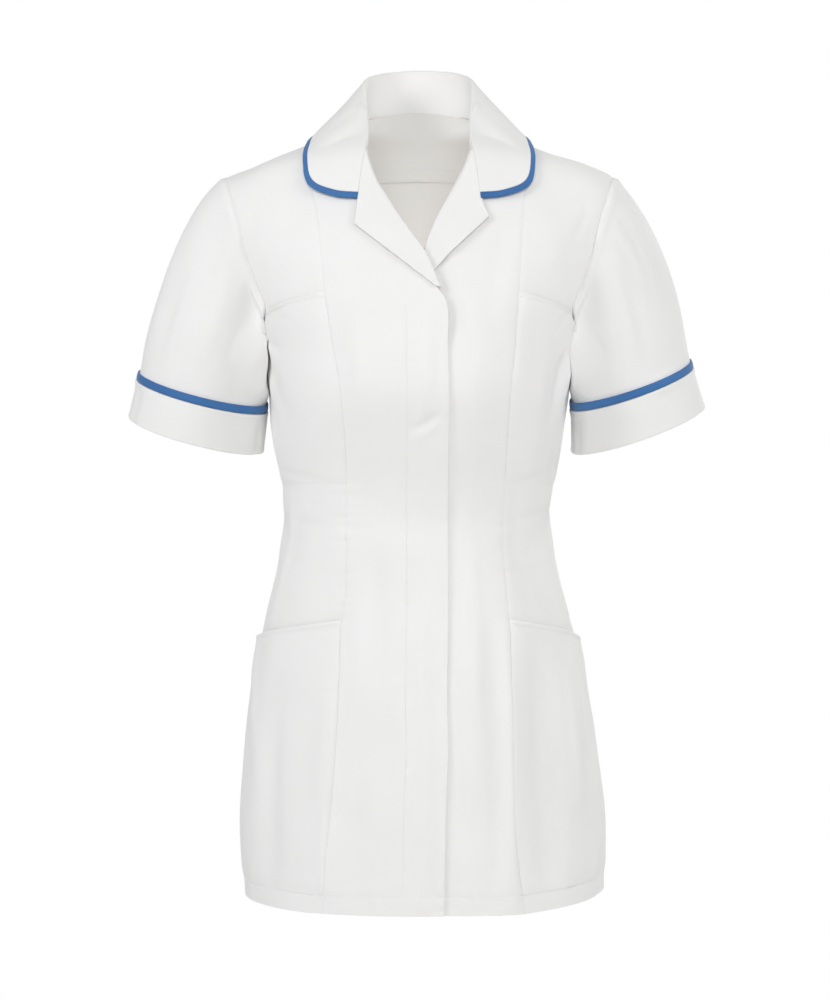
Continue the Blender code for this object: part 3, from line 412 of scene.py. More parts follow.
# Smaller creases seen from the front, from one place to another in metres across and up
Crease = namedtuple("Crease", "x_a z_a x_b z_b width depth")
FRONT_CREASES = table(
    Crease,
    (-0.083, -0.54, -0.09, -0.716, 0.01, 0.0052),
    (-0.149, -0.486, -0.154, -0.6, 0.014, 0.0036),
    (-0.132, -0.524, -0.14, -0.706, 0.02, -0.0044),
    (-0.12, -0.356, -0.138, -0.468, 0.013, 0.003),
    (0.109, -0.494, 0.12, -0.698, 0.021, -0.0084),
    (0.137, -0.504, 0.15, -0.634, 0.013, 0.006),
    (0.167, -0.652, 0.162, -0.722, 0.012, 0.0026),
    (0.156, -0.486, 0.17, -0.598, 0.011, -0.0026),
    (0.131, -0.374, 0.142, -0.462, 0.011, 0.0034),
    (0.148, -0.412, 0.154, -0.472, 0.008, -0.002),
    (0.094, -0.327, 0.108, -0.458, 0.016, -0.002),
    (0.117, -0.198, 0.103, -0.326, 0.014, 0.0016),
    (0.14, -0.214, 0.121, -0.282, 0.01, -0.0024),
    (0.128, -0.3, 0.12, -0.374, 0.01, -0.0018),
    (-0.062, -0.17, -0.055, -0.282, 0.012, 0.0012),
    (-0.041, -0.41, -0.032, -0.632, 0.018, -0.0028),
    (0.001, -0.466, 0.006, -0.725, 0.012, 0.002),
    (-0.05, -0.54, -0.062, -0.706, 0.014, -0.0028),
    (0.047, -0.41, 0.043, -0.632, 0.014, 0.0024),
    (0.066, -0.484, 0.072, -0.725, 0.012, -0.0028),
    (-0.006, -0.293, 0.02, -0.276, 0.006, -0.0016),
    (-0.004, -0.301, 0.019, -0.285, 0.005, 0.001),
    (0.004, -0.178, 0.004, -0.18, 0.008, -0.0008),
    (-0.124, -0.186, -0.123, -0.188, 0.008, -0.0009),
    (0.078, -0.466, 0.085, -0.706, 0.009, 0.0026),
    (0.012, -0.176, 0.004, -0.281, 0.01, 0.0012),
    (-0.069, -0.092, -0.075, -0.17, 0.01, 0.0012),
    (0.076, -0.106, 0.068, -0.176, 0.012, -0.0014),
    (-0.15, -0.196, -0.126, -0.218, 0.008, -0.0016),
    (-0.148, -0.168, -0.122, -0.19, 0.008, -0.0012),
    (0.148, -0.17, 0.128, -0.194, 0.009, -0.0014),
    (0.146, -0.2, 0.124, -0.226, 0.008, 0.0012),
    (-0.127, -0.328, -0.092, -0.336, 0.006, -0.0012),
    (-0.121, -0.374, -0.088, -0.38, 0.007, -0.0012),
    (-0.122, -0.396, -0.094, -0.408, 0.007, 0.0012),
    (0.122, -0.328, 0.094, -0.338, 0.006, -0.0012),
    (0.12, -0.366, 0.09, -0.374, 0.007, -0.0012),
    (0.114, -0.41, 0.09, -0.416, 0.007, 0.0012),
    (-0.16, -0.078, -0.142, -0.116, 0.006, -0.001),
    (-0.152, -0.1, -0.136, -0.144, 0.006, 0.001),
    (0.158, -0.08, 0.14, -0.118, 0.006, -0.001),
)

# Gentle unevenness of all the cloth: how many waves, their lengths and height, longer upwards than across
WAVE_SEED = 11
WAVES = 14
WAVE_LENGTHS = (0.030, 0.100)
WAVE_HEIGHT = 0.00085
WAVE_WAY = np.array([1.0, 1.0, 0.45])
WAVE_SHIFT = 6.28

# Soft folds of the sleeves: angle round the arm from the underarm over the front, stretch along it, width
SleeveFold = namedtuple("SleeveFold", "angle start end width depth")
SLEEVE_FOLDS = {
    "right": table(
        SleeveFold,
        (38, 0.1, 0.95, 20, -0.0036),
        (72, 0.05, 0.75, 20, -0.0026),
        (-52, 0.1, 0.9, 24, -0.0036),
        (140, 0.35, 1, 26, -0.002),
        (22, 0.25, 1, 8, -0.0016),
        (52, 0.35, 0.95, 8, 0.0012),
        (92, 0.2, 0.8, 12, 0.001),
        (-30, 0.2, 0.95, 9, 0.0014),
        (-76, 0.3, 0.9, 11, -0.0012),
        (60, 0.02, 0.55, 5, 0.0013),
        (70, 0.06, 0.7, 5, -0.0013),
        (80, 0, 0.45, 6, 0.0011),
        (44, 0.3, 0.98, 6, 0.0015),
        (112, 0.05, 0.6, 7, -0.001),
        (128, 0.4, 0.95, 9, 0.0012),
        (-60, 0.05, 0.6, 6, 0.0013),
        (-100, 0.1, 0.7, 8, 0.0012),
    ),
    "left": table(
        SleeveFold,
        (34, 0.1, 0.95, 20, -0.0032),
        (68, 0.08, 0.7, 20, -0.0026),
        (-58, 0.1, 0.9, 24, -0.0034),
        (-135, 0.35, 1, 26, -0.0022),
        (20, 0.3, 1, 8, -0.0014),
        (50, 0.3, 0.95, 9, 0.0012),
        (96, 0.25, 0.85, 12, 0.001),
        (-34, 0.2, 0.95, 9, 0.0014),
        (-80, 0.3, 0.9, 11, -0.0012),
        (58, 0.02, 0.5, 5, 0.0012),
        (67, 0.1, 0.65, 5, -0.0012),
        (84, 0, 0.5, 6, 0.001),
        (42, 0.35, 0.98, 6, 0.0014),
        (108, 0.3, 0.9, 9, -0.0014),
        (124, 0.05, 0.6, 8, 0.001),
        (-62, 0.05, 0.6, 6, 0.0012),
        (-104, 0.1, 0.7, 8, 0.0012),
    ),
}

# Soft creases across the cuffs: angle round the arm as for the sleeves, half width and depth
CuffCrease = namedtuple("CuffCrease", "angle width depth")
CUFF_CREASES = table(
    CuffCrease,
    (24, 8, -0.0014),
    (40, 7, 0.0007),
    (100, 16, 0.0006),
    (152, 9, -0.0012),
    (-46, 9, -0.0013),
    (-120, 12, 0.0008),
)

# Ridges and furrows that follow a line: how far from it the middle lies, how far they reach and their height
Ridge = namedtuple("Ridge", "at reach height")
SEAM_DIP = Ridge(0, 0.0018, -0.00035)
DART_FURROW = Ridge(0, 0.0011, -0.0012)
POCKET_BAND = Ridge(0.0018, 0.0016, 0.0011)
REVERS_EDGE = Ridge(0.0018, 0.0012, 0.0003)
CUFF_EDGE = Ridge(0.002, 0.0016, 0.0004)
SLEEVE_EASE = Ridge(0.006, 0.005, 0.0011)
STITCHED_FURROW = Ridge(0, 0.0009, -1)
STITCHED_FULLNESS = Ridge(0.0035, 0.002, 0.35)
# Puckers are strong at the waist's height and weaker above and below
PUCKERED_WAIST = Ridge(-0.405, 0.075, 1.1)
PUCKERED_ELSEWHERE = 0.45

# Seams and rows of stitches: seed, height and reach of their puckers, and depth of the furrow
Sewing = namedtuple("Sewing", "seed puckers reach furrow")
SEWING = {
    "front_hem": Sewing(31, 0.0009, 0.007, 0.00045),
    "side_hem": Sewing(33, 0.0009, 0.007, 0.00045),
    "back_hem": Sewing(35, 0.0009, 0.007, 0.00045),
    "fly": Sewing(41, 0.0004, 0.007, 0.00008),
    "front_edge": Sewing(45, 0.0004, 0.008, 0),
    "princess": Sewing(51, 0.0005, 0.009, 0),
    "pocket_top": Sewing(61, 0.0004, 0.005, 0.0004),
    "armhole": Sewing(71, 0.0006, 0.010, 0),
    "dart_right": Sewing(81, 0.0007, 0.009, 0),
    "dart_left": Sewing(82, 0.0007, 0.009, 0),
    "facing_edge": Sewing(91, 0.0003, 0.004, -0.0004),
    "facing_band": Sewing(92, 0.0003, 0.004, -0.0004),
    "facing_top": Sewing(93, 0.0004, 0.006, 0),
}
PUCKER_LENGTHS = (0.0075, 0.0105, 0.0142, 0.0230)
PUCKER_SWELL = 0.093
PUCKER_LEAST = 0.35
HEM_STITCH = 0.0178
FLY_STITCH = 0.0385
FLY_STITCH_ENDS = (-0.718, -0.172)
FLY_STITCH_FADES = 0.010
FRONT_EDGE_SMOOTH = 0.002
STITCH_PITCH = 0.0029
STITCH_LENGTH = 0.0022
STITCH_RADIUS = 0.00022
STITCH_SINKS = 0.0001
STITCH_SHOULDERS = (0.22, 0.78)
STITCH_CORNERS = np.radians([90, 210, 330])
DART_AT = 0.375
DART_COLUMNS = (-0.30, -0.18, -0.08, 0.0, 0.08, 0.18, 0.30)
DART_RADIUS = 0.12
DART_ENDS = (-0.520, -0.260)

# Pockets: first and last row of their panel, how far the top edge stands off, and if its ends are sewn down
Pocket = namedtuple("Pocket", "name bottom top gape closed")
POCKETS = table(
    Pocket,
    ("hip_pocket_", ROW_AT["hem_stitch"], ROW_AT["hip_pocket_top"], 0.0022, False),
    ("breast_pocket_", ROW_AT["breast_pocket_bottom"], ROW_AT["breast_pocket_top"], 0.0006, True),
)
POCKET_STITCH = 0.0042
POCKET_THINS = 0.009
POCKET_THINNEST = 0.2
# The gape: where it starts up the pocket, and how it grows from the princess seam and from the side
GAPES_ABOVE = 0.72
GAPE_AT_PRINCESS = 0.25
GAPE_FULL_AT = 0.9
LOOSE_FROM_PRINCESS = 0.004
LOOSE_AT_PRINCESS = 0.25
LOOSE_FROM_SIDE = 0.008
LOOSE_AT_SIDE = 0.45


def through(rows, column, at, key="z"):
    """Smooth curve through one column of a table, read at the given places."""
    places = np.array([getattr(row, key) for row in rows], dtype=float)
    values = np.array([getattr(row, column) for row in rows], dtype=float)
    slopes = np.gradient(values, places)
    at = np.clip(at, places[0], places[-1])
    i = np.clip(np.searchsorted(places, at) - 1, 0, len(places) - 2)
    span = places[i + 1] - places[i]
    t = (at - places[i]) / span
    start = values[i] * (1 + 2 * t) * (1 - t) ** 2 + slopes[i] * span * t * (1 - t) ** 2
    end = values[i + 1] * t * t * (3 - 2 * t) - slopes[i + 1] * span * t * t * (1 - t)
    return start + end


def section(column, z):
    """One measure of the torso at a height."""
    return through(TORSO, column, z)


def smooth_step(t, least=0.0):
    """Grows smoothly from the least value to one while t goes from nought to one."""
    t = np.clip(t, 0, 1)
    return least + (1 - least) * t * t * (3 - 2 * t)


def blend(ends, share):
    """Value between two ends."""
    return ends[0] * (1 - share) + ends[1] * share


def unit(v):
    return v / np.linalg.norm(v, axis=-1, keepdims=True)


def torso(turn, z, back=False):
    """Point of the torso's outer face: turn is 0 at the centre and a right angle at the side seams."""
    power = section("power", z)
    reach = (np.abs(np.sin(turn)) ** power + np.abs(np.cos(turn)) ** power) ** (-1 / power)
    x = section("mid", z) + section("half", z) * reach * np.sin(turn)
    depth = section("back", z) if back else -section("front", z)
    y = section("side_y", z) + depth * reach * np.cos(turn)
    return np.stack([x, y, z + 0 * x], axis=-1)


def turn_at(x, z):
    """Turn of the torso's point at a given x and height."""
    power = section("power", z)
    share = np.clip((x - section("mid", z)) / section("half", z), -1, 1)
    return np.arctan2(share, (1 - np.abs(share) ** power) ** (1 / power))


def torso_normal(turn, z, back=False):
    """Unit normal of the torso, pointing away from the wearer."""
    step_turn, step_z = 0.02, 0.004
    across = torso(turn + step_turn, z, back) - torso(turn - step_turn, z, back)
    up = torso(turn, z + step_z, back) - torso(turn, z - step_z, back)
    normal = unit(np.cross(across, up))
    return -normal if back else normal


def on_torso(turn, z, out, back=False):
    """Point at a height above the torso's outer face."""
    return torso(turn, z, back) + torso_normal(turn, z, back) * np.asarray(out)[..., None]


def apart(angle, degrees):
    """How far an angle lies from a place given in degrees, either way round."""
    return np.mod(angle - math.radians(degrees) + math.pi, 2 * math.pi) - math.pi


def as_fold(crease):
    """A crease of the front as a fold with angles round the body."""
    x_a, z_a, x_b, z_b, width, depth = crease
    return Fold(math.degrees(turn_at(x_a, z_a)), z_a, math.degrees(turn_at(x_b, z_b)), z_b, width, depth)


ALL_FOLDS = FOLDS + [as_fold(crease) for crease in FRONT_CREASES]


def folds(turn, z, back=False):
    """Height of the body's folds and creases at places on the torso."""
    angle = np.sign(turn) * math.pi - turn if back else turn
    height = np.zeros(np.broadcast(turn, z).shape)
    for fold in ALL_FOLDS:
        along = np.array([math.radians(fold.angle_b - fold.angle_a) * FOLD_RADIUS, fold.z_b - fold.z_a])
        place = np.stack([apart(angle, fold.angle_a) * FOLD_RADIUS, z - fold.z_a], axis=-1)
        t = np.clip(place @ along / (along @ along), 0, 1)
        away = np.linalg.norm(place - t[..., None] * along, axis=-1)
        lengthwise = FOLD_AT_ENDS + (1 - FOLD_AT_ENDS) * np.sin(math.pi * t)
        height += fold.depth * lengthwise * smooth_step(1 - away / fold.width)
    return height


def wave(turns, chance):
    """Sine wave that starts at a chance place."""
    return np.sin(2 * math.pi * turns + chance.uniform(0, WAVE_SHIFT))


def unevenness(points):
    """Gentle waves that run on from piece to piece."""
    chance = np.random.default_rng(WAVE_SEED)
    height = np.zeros(points.shape[:-1])
    for _ in range(WAVES):
        way = unit(chance.normal(size=3) * WAVE_WAY)
        length = chance.uniform(*WAVE_LENGTHS)
        height += wave(points @ way / length, chance) * length
    return height * WAVE_HEIGHT / (WAVES**0.5 * np.mean(WAVE_LENGTHS))


def run_along(points, axis):
    """Length run through along one axis of a grid of points."""
    steps = np.linalg.norm(np.diff(points, axis=axis), axis=-1)
    start = np.zeros_like(np.take(steps, [0], axis=axis))
    return np.concatenate([start, np.cumsum(steps, axis=axis)], axis=axis)


def evenly(turn, z, steps, back=False):
    """Places along a dense curve on the torso, evenly spaced by its length."""
    run = run_along(torso(turn, z, back), 0)
    at = np.linspace(0, run[-1], steps + 1)
    return np.interp(at, run, turn), np.interp(at, run, z)


def joined(*parts):
    """Joins runs of places whose ends meet."""
    return tuple(np.concatenate([parts[0][k]] + [part[k][1:] for part in parts[1:]]) for k in (0, 1))


def lower_heights(column):
    """Heights of the shared rows from the hem up to the underarm."""
    heights = [getattr(LOWER_ROWS[0], column)]
    for below, row in zip(LOWER_ROWS, LOWER_ROWS[1:]):
        heights.extend(np.linspace(getattr(below, column), getattr(row, column), row.steps + 1)[1:])
    return np.array(heights)


def princess_line(side):
    """Places of the shared rows along a front princess seam, hem to shoulder."""

    def run(low, high, steps):
        z = low + (high - low) * (1 - (1 - np.linspace(0, 1, DENSE)) ** 2)
        return evenly(turn_at(through(PRINCESS, side, z), z), z, steps)

    lower = lower_heights("princess")
    to_pocket = run(lower[-1], BREAST_POCKET_TOP[0], ROWS_TO_POCKET_TOP)
    to_shoulder = run(BREAST_POCKET_TOP[0], PRINCESS[-1].z, ROWS_TO_SHOULDER)
    turn, z = joined((turn_at(through(PRINCESS, side, lower), lower), lower), to_pocket, to_shoulder)
    turn[-1] = SIDES[side] * math.pi / 2
    return turn, z


def side_line(side, back=False):
    """Places of the shared rows up a side seam and round an armhole to the shoulder tip."""
    sign = SIDES[side]

    def run(low, high, steps):
        z = low + (high - low) * (1 - np.cos(np.linspace(0, math.pi, DENSE))) / 2
        x = through(ARMHOLE, "back" if back else "front", z)
        return evenly(sign * turn_at(x, z), z, steps, back)

    lower = lower_heights("side")
    lower = lower + SIDE_RISE[side] * smooth_step((SIDE_RISE_FROM - lower) / (SIDE_RISE_FROM - lower[0]))
    to_pocket = run(UNDERARM_Z, BREAST_POCKET_TOP[1], ROWS_TO_POCKET_TOP)
    to_tip = run(BREAST_POCKET_TOP[1], SHOULDER_TIP_Z, ROWS_TO_SHOULDER)
    turn, z = joined((np.full(len(lower), sign * math.pi / 2), lower), to_pocket, to_tip)
    turn[[ROW_AT["underarm"], -1]] = sign * math.pi / 2
    return turn, z


def neck_line(side):
    """Front neckline from the gorge up to the neck point."""
    z = np.linspace(COLLAR[0].neck_z, 0, DENSE)
    rows = COLLAR[:3] + [COLLAR[3]._replace(neck_x=NECK_POINT_X, neck_z=0.0)]
    x = SIDES[side] * through(rows, "neck_x", z, key="neck_z")
    return evenly(turn_at(x, z), z, ROWS_OF_NECK)


def revers_frame(side):
    """Roll line, outline and reach of a revers, row by row from the break point to the gorge."""
    rolls = ROLL[side]
    z = np.linspace(rolls[0].z, GORGE_Z, DENSE)
    roll = torso(*evenly(turn_at(through(rolls, "x", z), z), z, ROWS_OF_ROLL))[:, [0, 2]]
    sign = SIDES[side]
    tip = np.array(REVERS_TIP[side])
    notch = np.array([sign * COLLAR[0].edge_x, COLLAR[0].edge_z])
    low_end = roll[0] + np.array([sign * REVERS_START, 0.0])
    share = np.linspace(0, 1, ROWS_OF_ROLL + 1)[:, None]
    below = low_end + (tip - low_end) * share / REVERS_TIP_AT
    above = tip + (notch - tip) * (share - REVERS_TIP_AT) / (1 - REVERS_TIP_AT)
    edge = np.where(share < REVERS_TIP_AT, below, above)
    reach = np.linalg.norm(edge - roll, axis=1)
    return roll, (edge - roll) / reach[:, None], reach


def to_gorge(rows):
    """Share of the collar's form in each row of a revers: none at the break point, all at the gorge."""
    return np.linspace(0, 1, rows) ** GORGE_POWER


def front_edge_line(side):
    """Placket edge, start of the revers and neckline of a front, hem to neck point."""
    lower = lower_heights("princess")
    roll, outward, _ = revers_frame(side)
    revers = roll + outward * (REVERS_FOLD + REVERS_STAND)
    gorge = np.array([SIDES[side] * COLLAR[0].neck_x, COLLAR[0].neck_z])
    revers = revers + (gorge - revers[-1]) * to_gorge(len(roll))[:, None]
    z = np.linspace(lower[-1], revers[0, 1], DENSE)
    x = through(PLACKET[side], "x", z)
    x = x + (revers[0, 0] - x[-1]) * smooth_step(np.linspace(-3, 1, DENSE))
    to_break = evenly(turn_at(x, z), z, ROWS_TO_BREAK)
    below = turn_at(through(PLACKET[side], "x", lower), lower), lower
    turn, z = joined(below, to_break, (turn_at(*revers.T), revers[:, 1]), neck_line(side))
    turn[-1] = SIDES[side] * math.pi / 2
    return turn, z


def close_rows(grid):
    """Adds rows close to the first and last row."""
    rows = len(grid)
    at = np.concatenate([CLOSE_ROWS, np.arange(1, rows - 1), rows - 1 - CLOSE_ROWS[::-1]])
    low = np.minimum(at.astype(int), rows - 2)
    share = (at - low).reshape(-1, *[1] * (grid.ndim - 1))
    return blend((grid[low], grid[low + 1]), share)


def strip(inner, outer, steps):
    """Grid of places between two lines, with close columns along both edges."""
    width = np.linalg.norm(torso(*outer) - torso(*inner), axis=-1)[:, None]
    near = EDGE_STEPS / width
    middle = near[:, -1:] + (1 - 2 * near[:, -1:]) * np.linspace(0, 1, steps + 1)[None, 1:-1]
    share = np.concatenate([near, middle, 1 - near[:, ::-1]], axis=1)
    return [close_rows(blend((a[:, None], b[:, None]), share)) for a, b in zip(inner, outer)]


def lap(side, x, z):
    """How far the left front sinks where the right one laps over it."""
    if side == "right":
        return 0 * x
    on_placket, on_roll = through(PLACKET["right"], "x", z), through(ROLL["right"], "x", z)
    cover = np.where(z < ROLL["right"][0].z, on_placket, on_roll)
    near = smooth_step((cover - x + LAP_LEAD) / LAP_WIDTH)
    deeper = smooth_step((z - LAP_DEEPENS[0]) / (LAP_DEEPENS[1] - LAP_DEEPENS[0]))
    return -near * blend(LAP_DEPTHS, deeper)


def back_grid():
    """Grid of the back: level rows below the arms, then rows that rise to the shoulders and the neck."""
    right, left = side_line("right", back=True), side_line("left", back=True)
    seam_z = np.linspace(SHOULDER_TIP_Z, 0, BACK_SIDE_STEPS + 1)
    rise = COLLAR[-1].neck_z
    neck_z = np.linspace(0, rise, DENSE)
    neck_x = NECK_POINT_X * np.sqrt(np.clip(1 - (neck_z / rise) ** BACK_NECK_POWER, 0, 1))
    neck = evenly(turn_at(neck_x, neck_z), neck_z, BACK_NECK_STEPS, back=True)
    half = joined((np.full(BACK_SIDE_STEPS + 1, math.pi / 2), seam_z), neck)
    top_turn = np.concatenate([-half[0], half[0][::-1][1:]])
    top_z = np.concatenate([half[1], half[1][::-1][1:]])
    last = len(top_turn) - 1
    darts = [(1 + way * DART_AT) / 2 * last + offset for way in (-1, 1) for offset in DART_COLUMNS]
    at = np.sort(np.concatenate([CLOSE_COLUMNS, np.arange(1, last), last - CLOSE_COLUMNS[::-1], darts]))
    rows_of_values = top_turn, top_z, np.linspace(-1, 1, last + 1)
    top_turn, top_z, level = (np.interp(at, np.arange(last + 1), values) for values in rows_of_values)
    rows, underarm = len(left[0]), ROW_AT["underarm"]
    rise = np.clip((np.arange(rows) - underarm) / (rows - 1 - underarm), 0, 1)[:, None] ** 2
    turn = blend((level, top_turn / (math.pi / 2)), rise) * left[0][:, None]
    z = blend((right[1][:, None], left[1][:, None]), (1 + level) / 2) + (top_z - SHOULDER_TIP_Z) * rise
    return close_rows(turn), close_rows(z)


class Distances:
    """How far each point of a grid lies from its four edges, in metres."""

    def __init__(self, points):
        self.along, self.across = run_along(points, 0), run_along(points, 1)
        self.low, self.top = self.along, self.along[-1:] - self.along
        self.first, self.last = self.across, self.across[:, -1:] - self.across
        self.nearest = np.minimum(np.minimum(self.low, self.top), np.minimum(self.first, self.last))


def rounded(distance, radius):
    """How far a face falls away at a free or sewn edge, as a quarter circle."""
    t = 1 - np.clip(distance / radius, 0, 1)
    return radius * (1 - np.sqrt(np.clip(1 - t * t, 0, 1)))


def ridge(form, distance):
    """Height of a ridge or furrow at a distance from its line."""
    return form.height * np.exp(-(((distance - form.at) / form.reach) ** 2))


def seam_dips(*distances):
    return sum(ridge(SEAM_DIP, distance) for distance in distances)


def sewing(name, along, away, side=None):
    """Furrow of a row of stitches, with the cloth a little full beside it, and small uneven puckers."""
    row = SEWING[name]
    chance = np.random.default_rng(row.seed + SIDES.get(side, 0))
    ripple = sum(wave(along / length, chance) for length in PUCKER_LENGTHS) / 2
    swell = 0.5 + 0.5 * wave(along / PUCKER_SWELL, chance)
    puckers = row.puckers * ripple * (PUCKER_LEAST + (1 - PUCKER_LEAST) * swell)
    furrow = row.furrow * (ridge(STITCHED_FULLNESS, np.abs(away)) + ridge(STITCHED_FURROW, away))
    return puckers * np.exp(-np.abs(away) / row.reach) + furrow


def princess_puckers(along, away, side, z):
    """Puckers of a princess seam, the same on both of its panels."""
    return sewing("princess", along, away, side) * (PUCKERED_ELSEWHERE + ridge(PUCKERED_WAIST, z))


def closed_round(points):
    """Grid of a tube with its first column once more at the end."""
    return np.concatenate([points, points[:, :1]], axis=1)


def add_object(name, points, faces, look, maps=None):
    """Puts a mesh with its material into the scene."""
    mesh = bpy.data.meshes.new(name)
    mesh.from_pydata(points, [], faces)
    if maps is not None:
        mesh.uv_layers.new(name="cloth").data.foreach_set("uv", maps)
    mesh.shade_smooth()
    mesh.materials.append(look)
    made = bpy.data.objects.new(name, mesh)
    bpy.context.scene.collection.objects.link(made)
    return made


def cloth_object(name, outer, inner, look="white_cloth", ring=False):
    """Closed sheet between an outer and an inner grid of points, with the cloth's own lengths as its map."""
    rows, columns = outer.shape[:2]
    closed = closed_round(outer) if ring else outer
    lengths = np.stack([run_along(closed, 1), run_along(closed, 0)], axis=-1)
    faces, maps = [], []

    def add(flipped, *corners):
        """Adds quads, whose corners are given as row, column and side of the cloth."""
        corners = corners[::-1] if flipped else corners
        places = [i * columns + j % columns + side * rows * columns for i, j, side in corners]
        faces.append(np.stack(places, axis=-1).reshape(-1, 4))
        maps.append(np.stack([lengths[i, j] for i, j, _ in corners], axis=-2).reshape(-1, 4, 2))

    i, j = np.meshgrid(np.arange(rows - 1), np.arange(closed.shape[1] - 1), indexing="ij")
    up, across = i[:, 0], j[0]
    for side in (0, 1):
        add(side == 1, (i, j, side), (i, j + 1, side), (i + 1, j + 1, side), (i + 1, j, side))
    for row in (0, rows - 1):
        add(row == 0, (row, across, 0), (row, across + 1, 0), (row, across + 1, 1), (row, across, 1))
    for column in () if ring else (0, columns - 1):
        add(column > 0, (up, column, 0), (up + 1, column, 0), (up + 1, column, 1), (up, column, 1))
    faces, maps = np.concatenate(faces), np.concatenate(maps)
    points = np.concatenate([outer.reshape(-1, 3), inner.reshape(-1, 3)])
    a, b, c, d = points[faces].transpose(1, 0, 2)
    if np.sum(a * np.cross(b, c)) + np.sum(a * np.cross(c, d)) < 0:
        faces, maps = faces[:, ::-1], maps[:, ::-1]
    return add_object(name, points.tolist(), faces.tolist(), LOOKS[look], maps.reshape(-1))


def drawn_in(points, gap=SEWN_GAP, edges=((0, 1), (-1, -2))):
    """Draws the edges of a grid in by a hair, so that sewn neighbours don't touch."""
    points = points.copy()
    for edge, next_in in edges:
        points[edge] += unit(points[next_in] - points[edge]) * gap
    for edge, next_in in edges:
        points[:, edge] += unit(points[:, next_in] - points[:, edge]) * gap
    return points


def place_in_frame(piece, node=None):
    """Hangs a piece on the root, and hides the solid that it stands for, if one is named."""
    if node:
        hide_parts(node)
    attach(piece, "root")


def declare(piece, node, with_pieces=()):
    """Hides the solid that a cloth piece stands for and hangs the piece on the root."""
    place_in_frame(piece, node)


def stitches(name, paths):
    """Rows of thread, each stitch a small spindle that lies in the cloth."""
    points, faces = [], []
    for path, normal in paths:
        run = run_along(path, 0)

        def at(length, values):
            return np.stack([np.interp(length, run, column) for column in values.T], axis=-1)

        for t in np.arange(STITCH_PITCH / 2, run[-1] - STITCH_LENGTH, STITCH_PITCH):
            start, end = at(np.array([t, t + STITCH_LENGTH]), path)
            up = unit(at(t, normal))
            side = np.cross(unit(end - start), up)
            first = len(points)
            points.append(start - up * STITCH_SINKS)
            for share in STITCH_SHOULDERS:
                centre = start + (end - start) * share + up * STITCH_RADIUS / 2
                for angle in STITCH_CORNERS:
                    points.append(centre + (up * math.sin(angle) + side * math.cos(angle)) * STITCH_RADIUS)
            points.append(end - up * STITCH_SINKS)
            for k in range(3):
                a, b = first + 1 + k, first + 1 + (k + 1) % 3
                faces += [(first, b, a), (a, b, b + 3, a + 3), (first + 7, a + 3, b + 3)]
    made = add_object(name, np.array(points).tolist(), faces, LOOKS["white_thread"])
    place_in_frame(made)
    return made


def line_across(outer, normals, distance, at):
    """Path over a grid where a distance from its low or top edge has one value, column by column."""
    both = np.concatenate([outer, normals], axis=-1)
    path = []
    for j, away in enumerate(distance.T):
        order = np.argsort(away)
        path.append([np.interp(at, away[order], values) for values in both[order, j].T])
    path = np.array(path)
    return path[:, :3], path[:, 3:]


def set_sockets(tree, node, values):
    """Sets a node's inputs to plain values, or links them to other nodes' outputs."""
    for name, value in values.items():
        if isinstance(value, bpy.types.NodeSocket):
            tree.links.new(value, node.inputs[name])
        else:
            node.inputs[name].default_value = value


def add_node(tree, kind, output, **values):
    """Adds a node and gives its output; an underscore in a socket's name stands for a space."""
    node = tree.nodes.new("ShaderNode" + kind)
    set_sockets(tree, node, {name.replace("_", " "): value for name, value in values.items()})
    return node.outputs[output]


def new_material(name, colour, roughness, sheen):
    """Principled material, its nodes and its shader, with the plain values on the shader's own sockets."""
    made = bpy.data.materials.new(name)
    made.use_nodes = True
    shader = made.node_tree.nodes["Principled BSDF"]
    values = {
        "Base Color": colour,
        "Roughness": roughness,
        "Sheen Weight": sheen,
        "Sheen Roughness": 0.5,
        "Specular IOR Level": 0.25,
    }
    set_sockets(made.node_tree, shader, values)
    return made, made.node_tree, shader


def toned(tree, amount, dark, light):
    """Colour that goes from dark to light with an amount."""
    ramp = tree.nodes.new("ShaderNodeValToRGB")
    set_sockets(tree, ramp, {"Fac": amount})
    for element, place, colour in zip(ramp.color_ramp.elements, TONES_AT, (dark, light)):
        element.position, element.color = place, colour
    return ramp.outputs["Color"]


def woven(name, weave):
    """Woven cloth: twill ribs on the cloth's own map, faint crumpling and a faint unevenness of tone."""
    made, tree, shader = new_material(name, weave.light, CLOTH_ROUGHNESS, weave.sheen)
    place = add_node(tree, "TexCoord", "Object")
    cloth = tree.nodes.new("ShaderNodeUVMap")
    cloth.uv_map = "cloth"
    slope = (0, 0, math.radians(RIB_SLOPE))
    turned = add_node(tree, "Mapping", "Vector", Vector=cloth.outputs["UV"], Rotation=slope)
    ribs = add_node(
        tree, "TexWave", "Fac", Vector=turned, Scale=weave.ribs, Distortion=1.2, Detail=1.0, Detail_Scale=2.0
    )
    slubs = add_node(tree, "TexNoise", "Fac", Vector=place, Scale=900, Detail=3)
    both = add_node(tree, "Mix", "Result", Factor=0.35, A=ribs, B=slubs)
    crumple = add_node(tree, "TexNoise", "Fac", Vector=place, Scale=46, Detail=4, Roughness=0.45)
    soft = add_node(tree, "Bump", "Normal", Strength=0.6, Distance=weave.crumple_depth, Height=crumple)
    depth = weave.weave_depth
    fine = add_node(tree, "Bump", "Normal", Strength=0.5, Distance=depth, Height=both, Normal=soft)
    tone = add_node(tree, "TexNoise", "Fac", Vector=place, Scale=9, Detail=3)
    set_sockets(tree, shader, {"Normal": fine, "Base Color": toned(tree, tone, weave.dark, weave.light)})
    return made


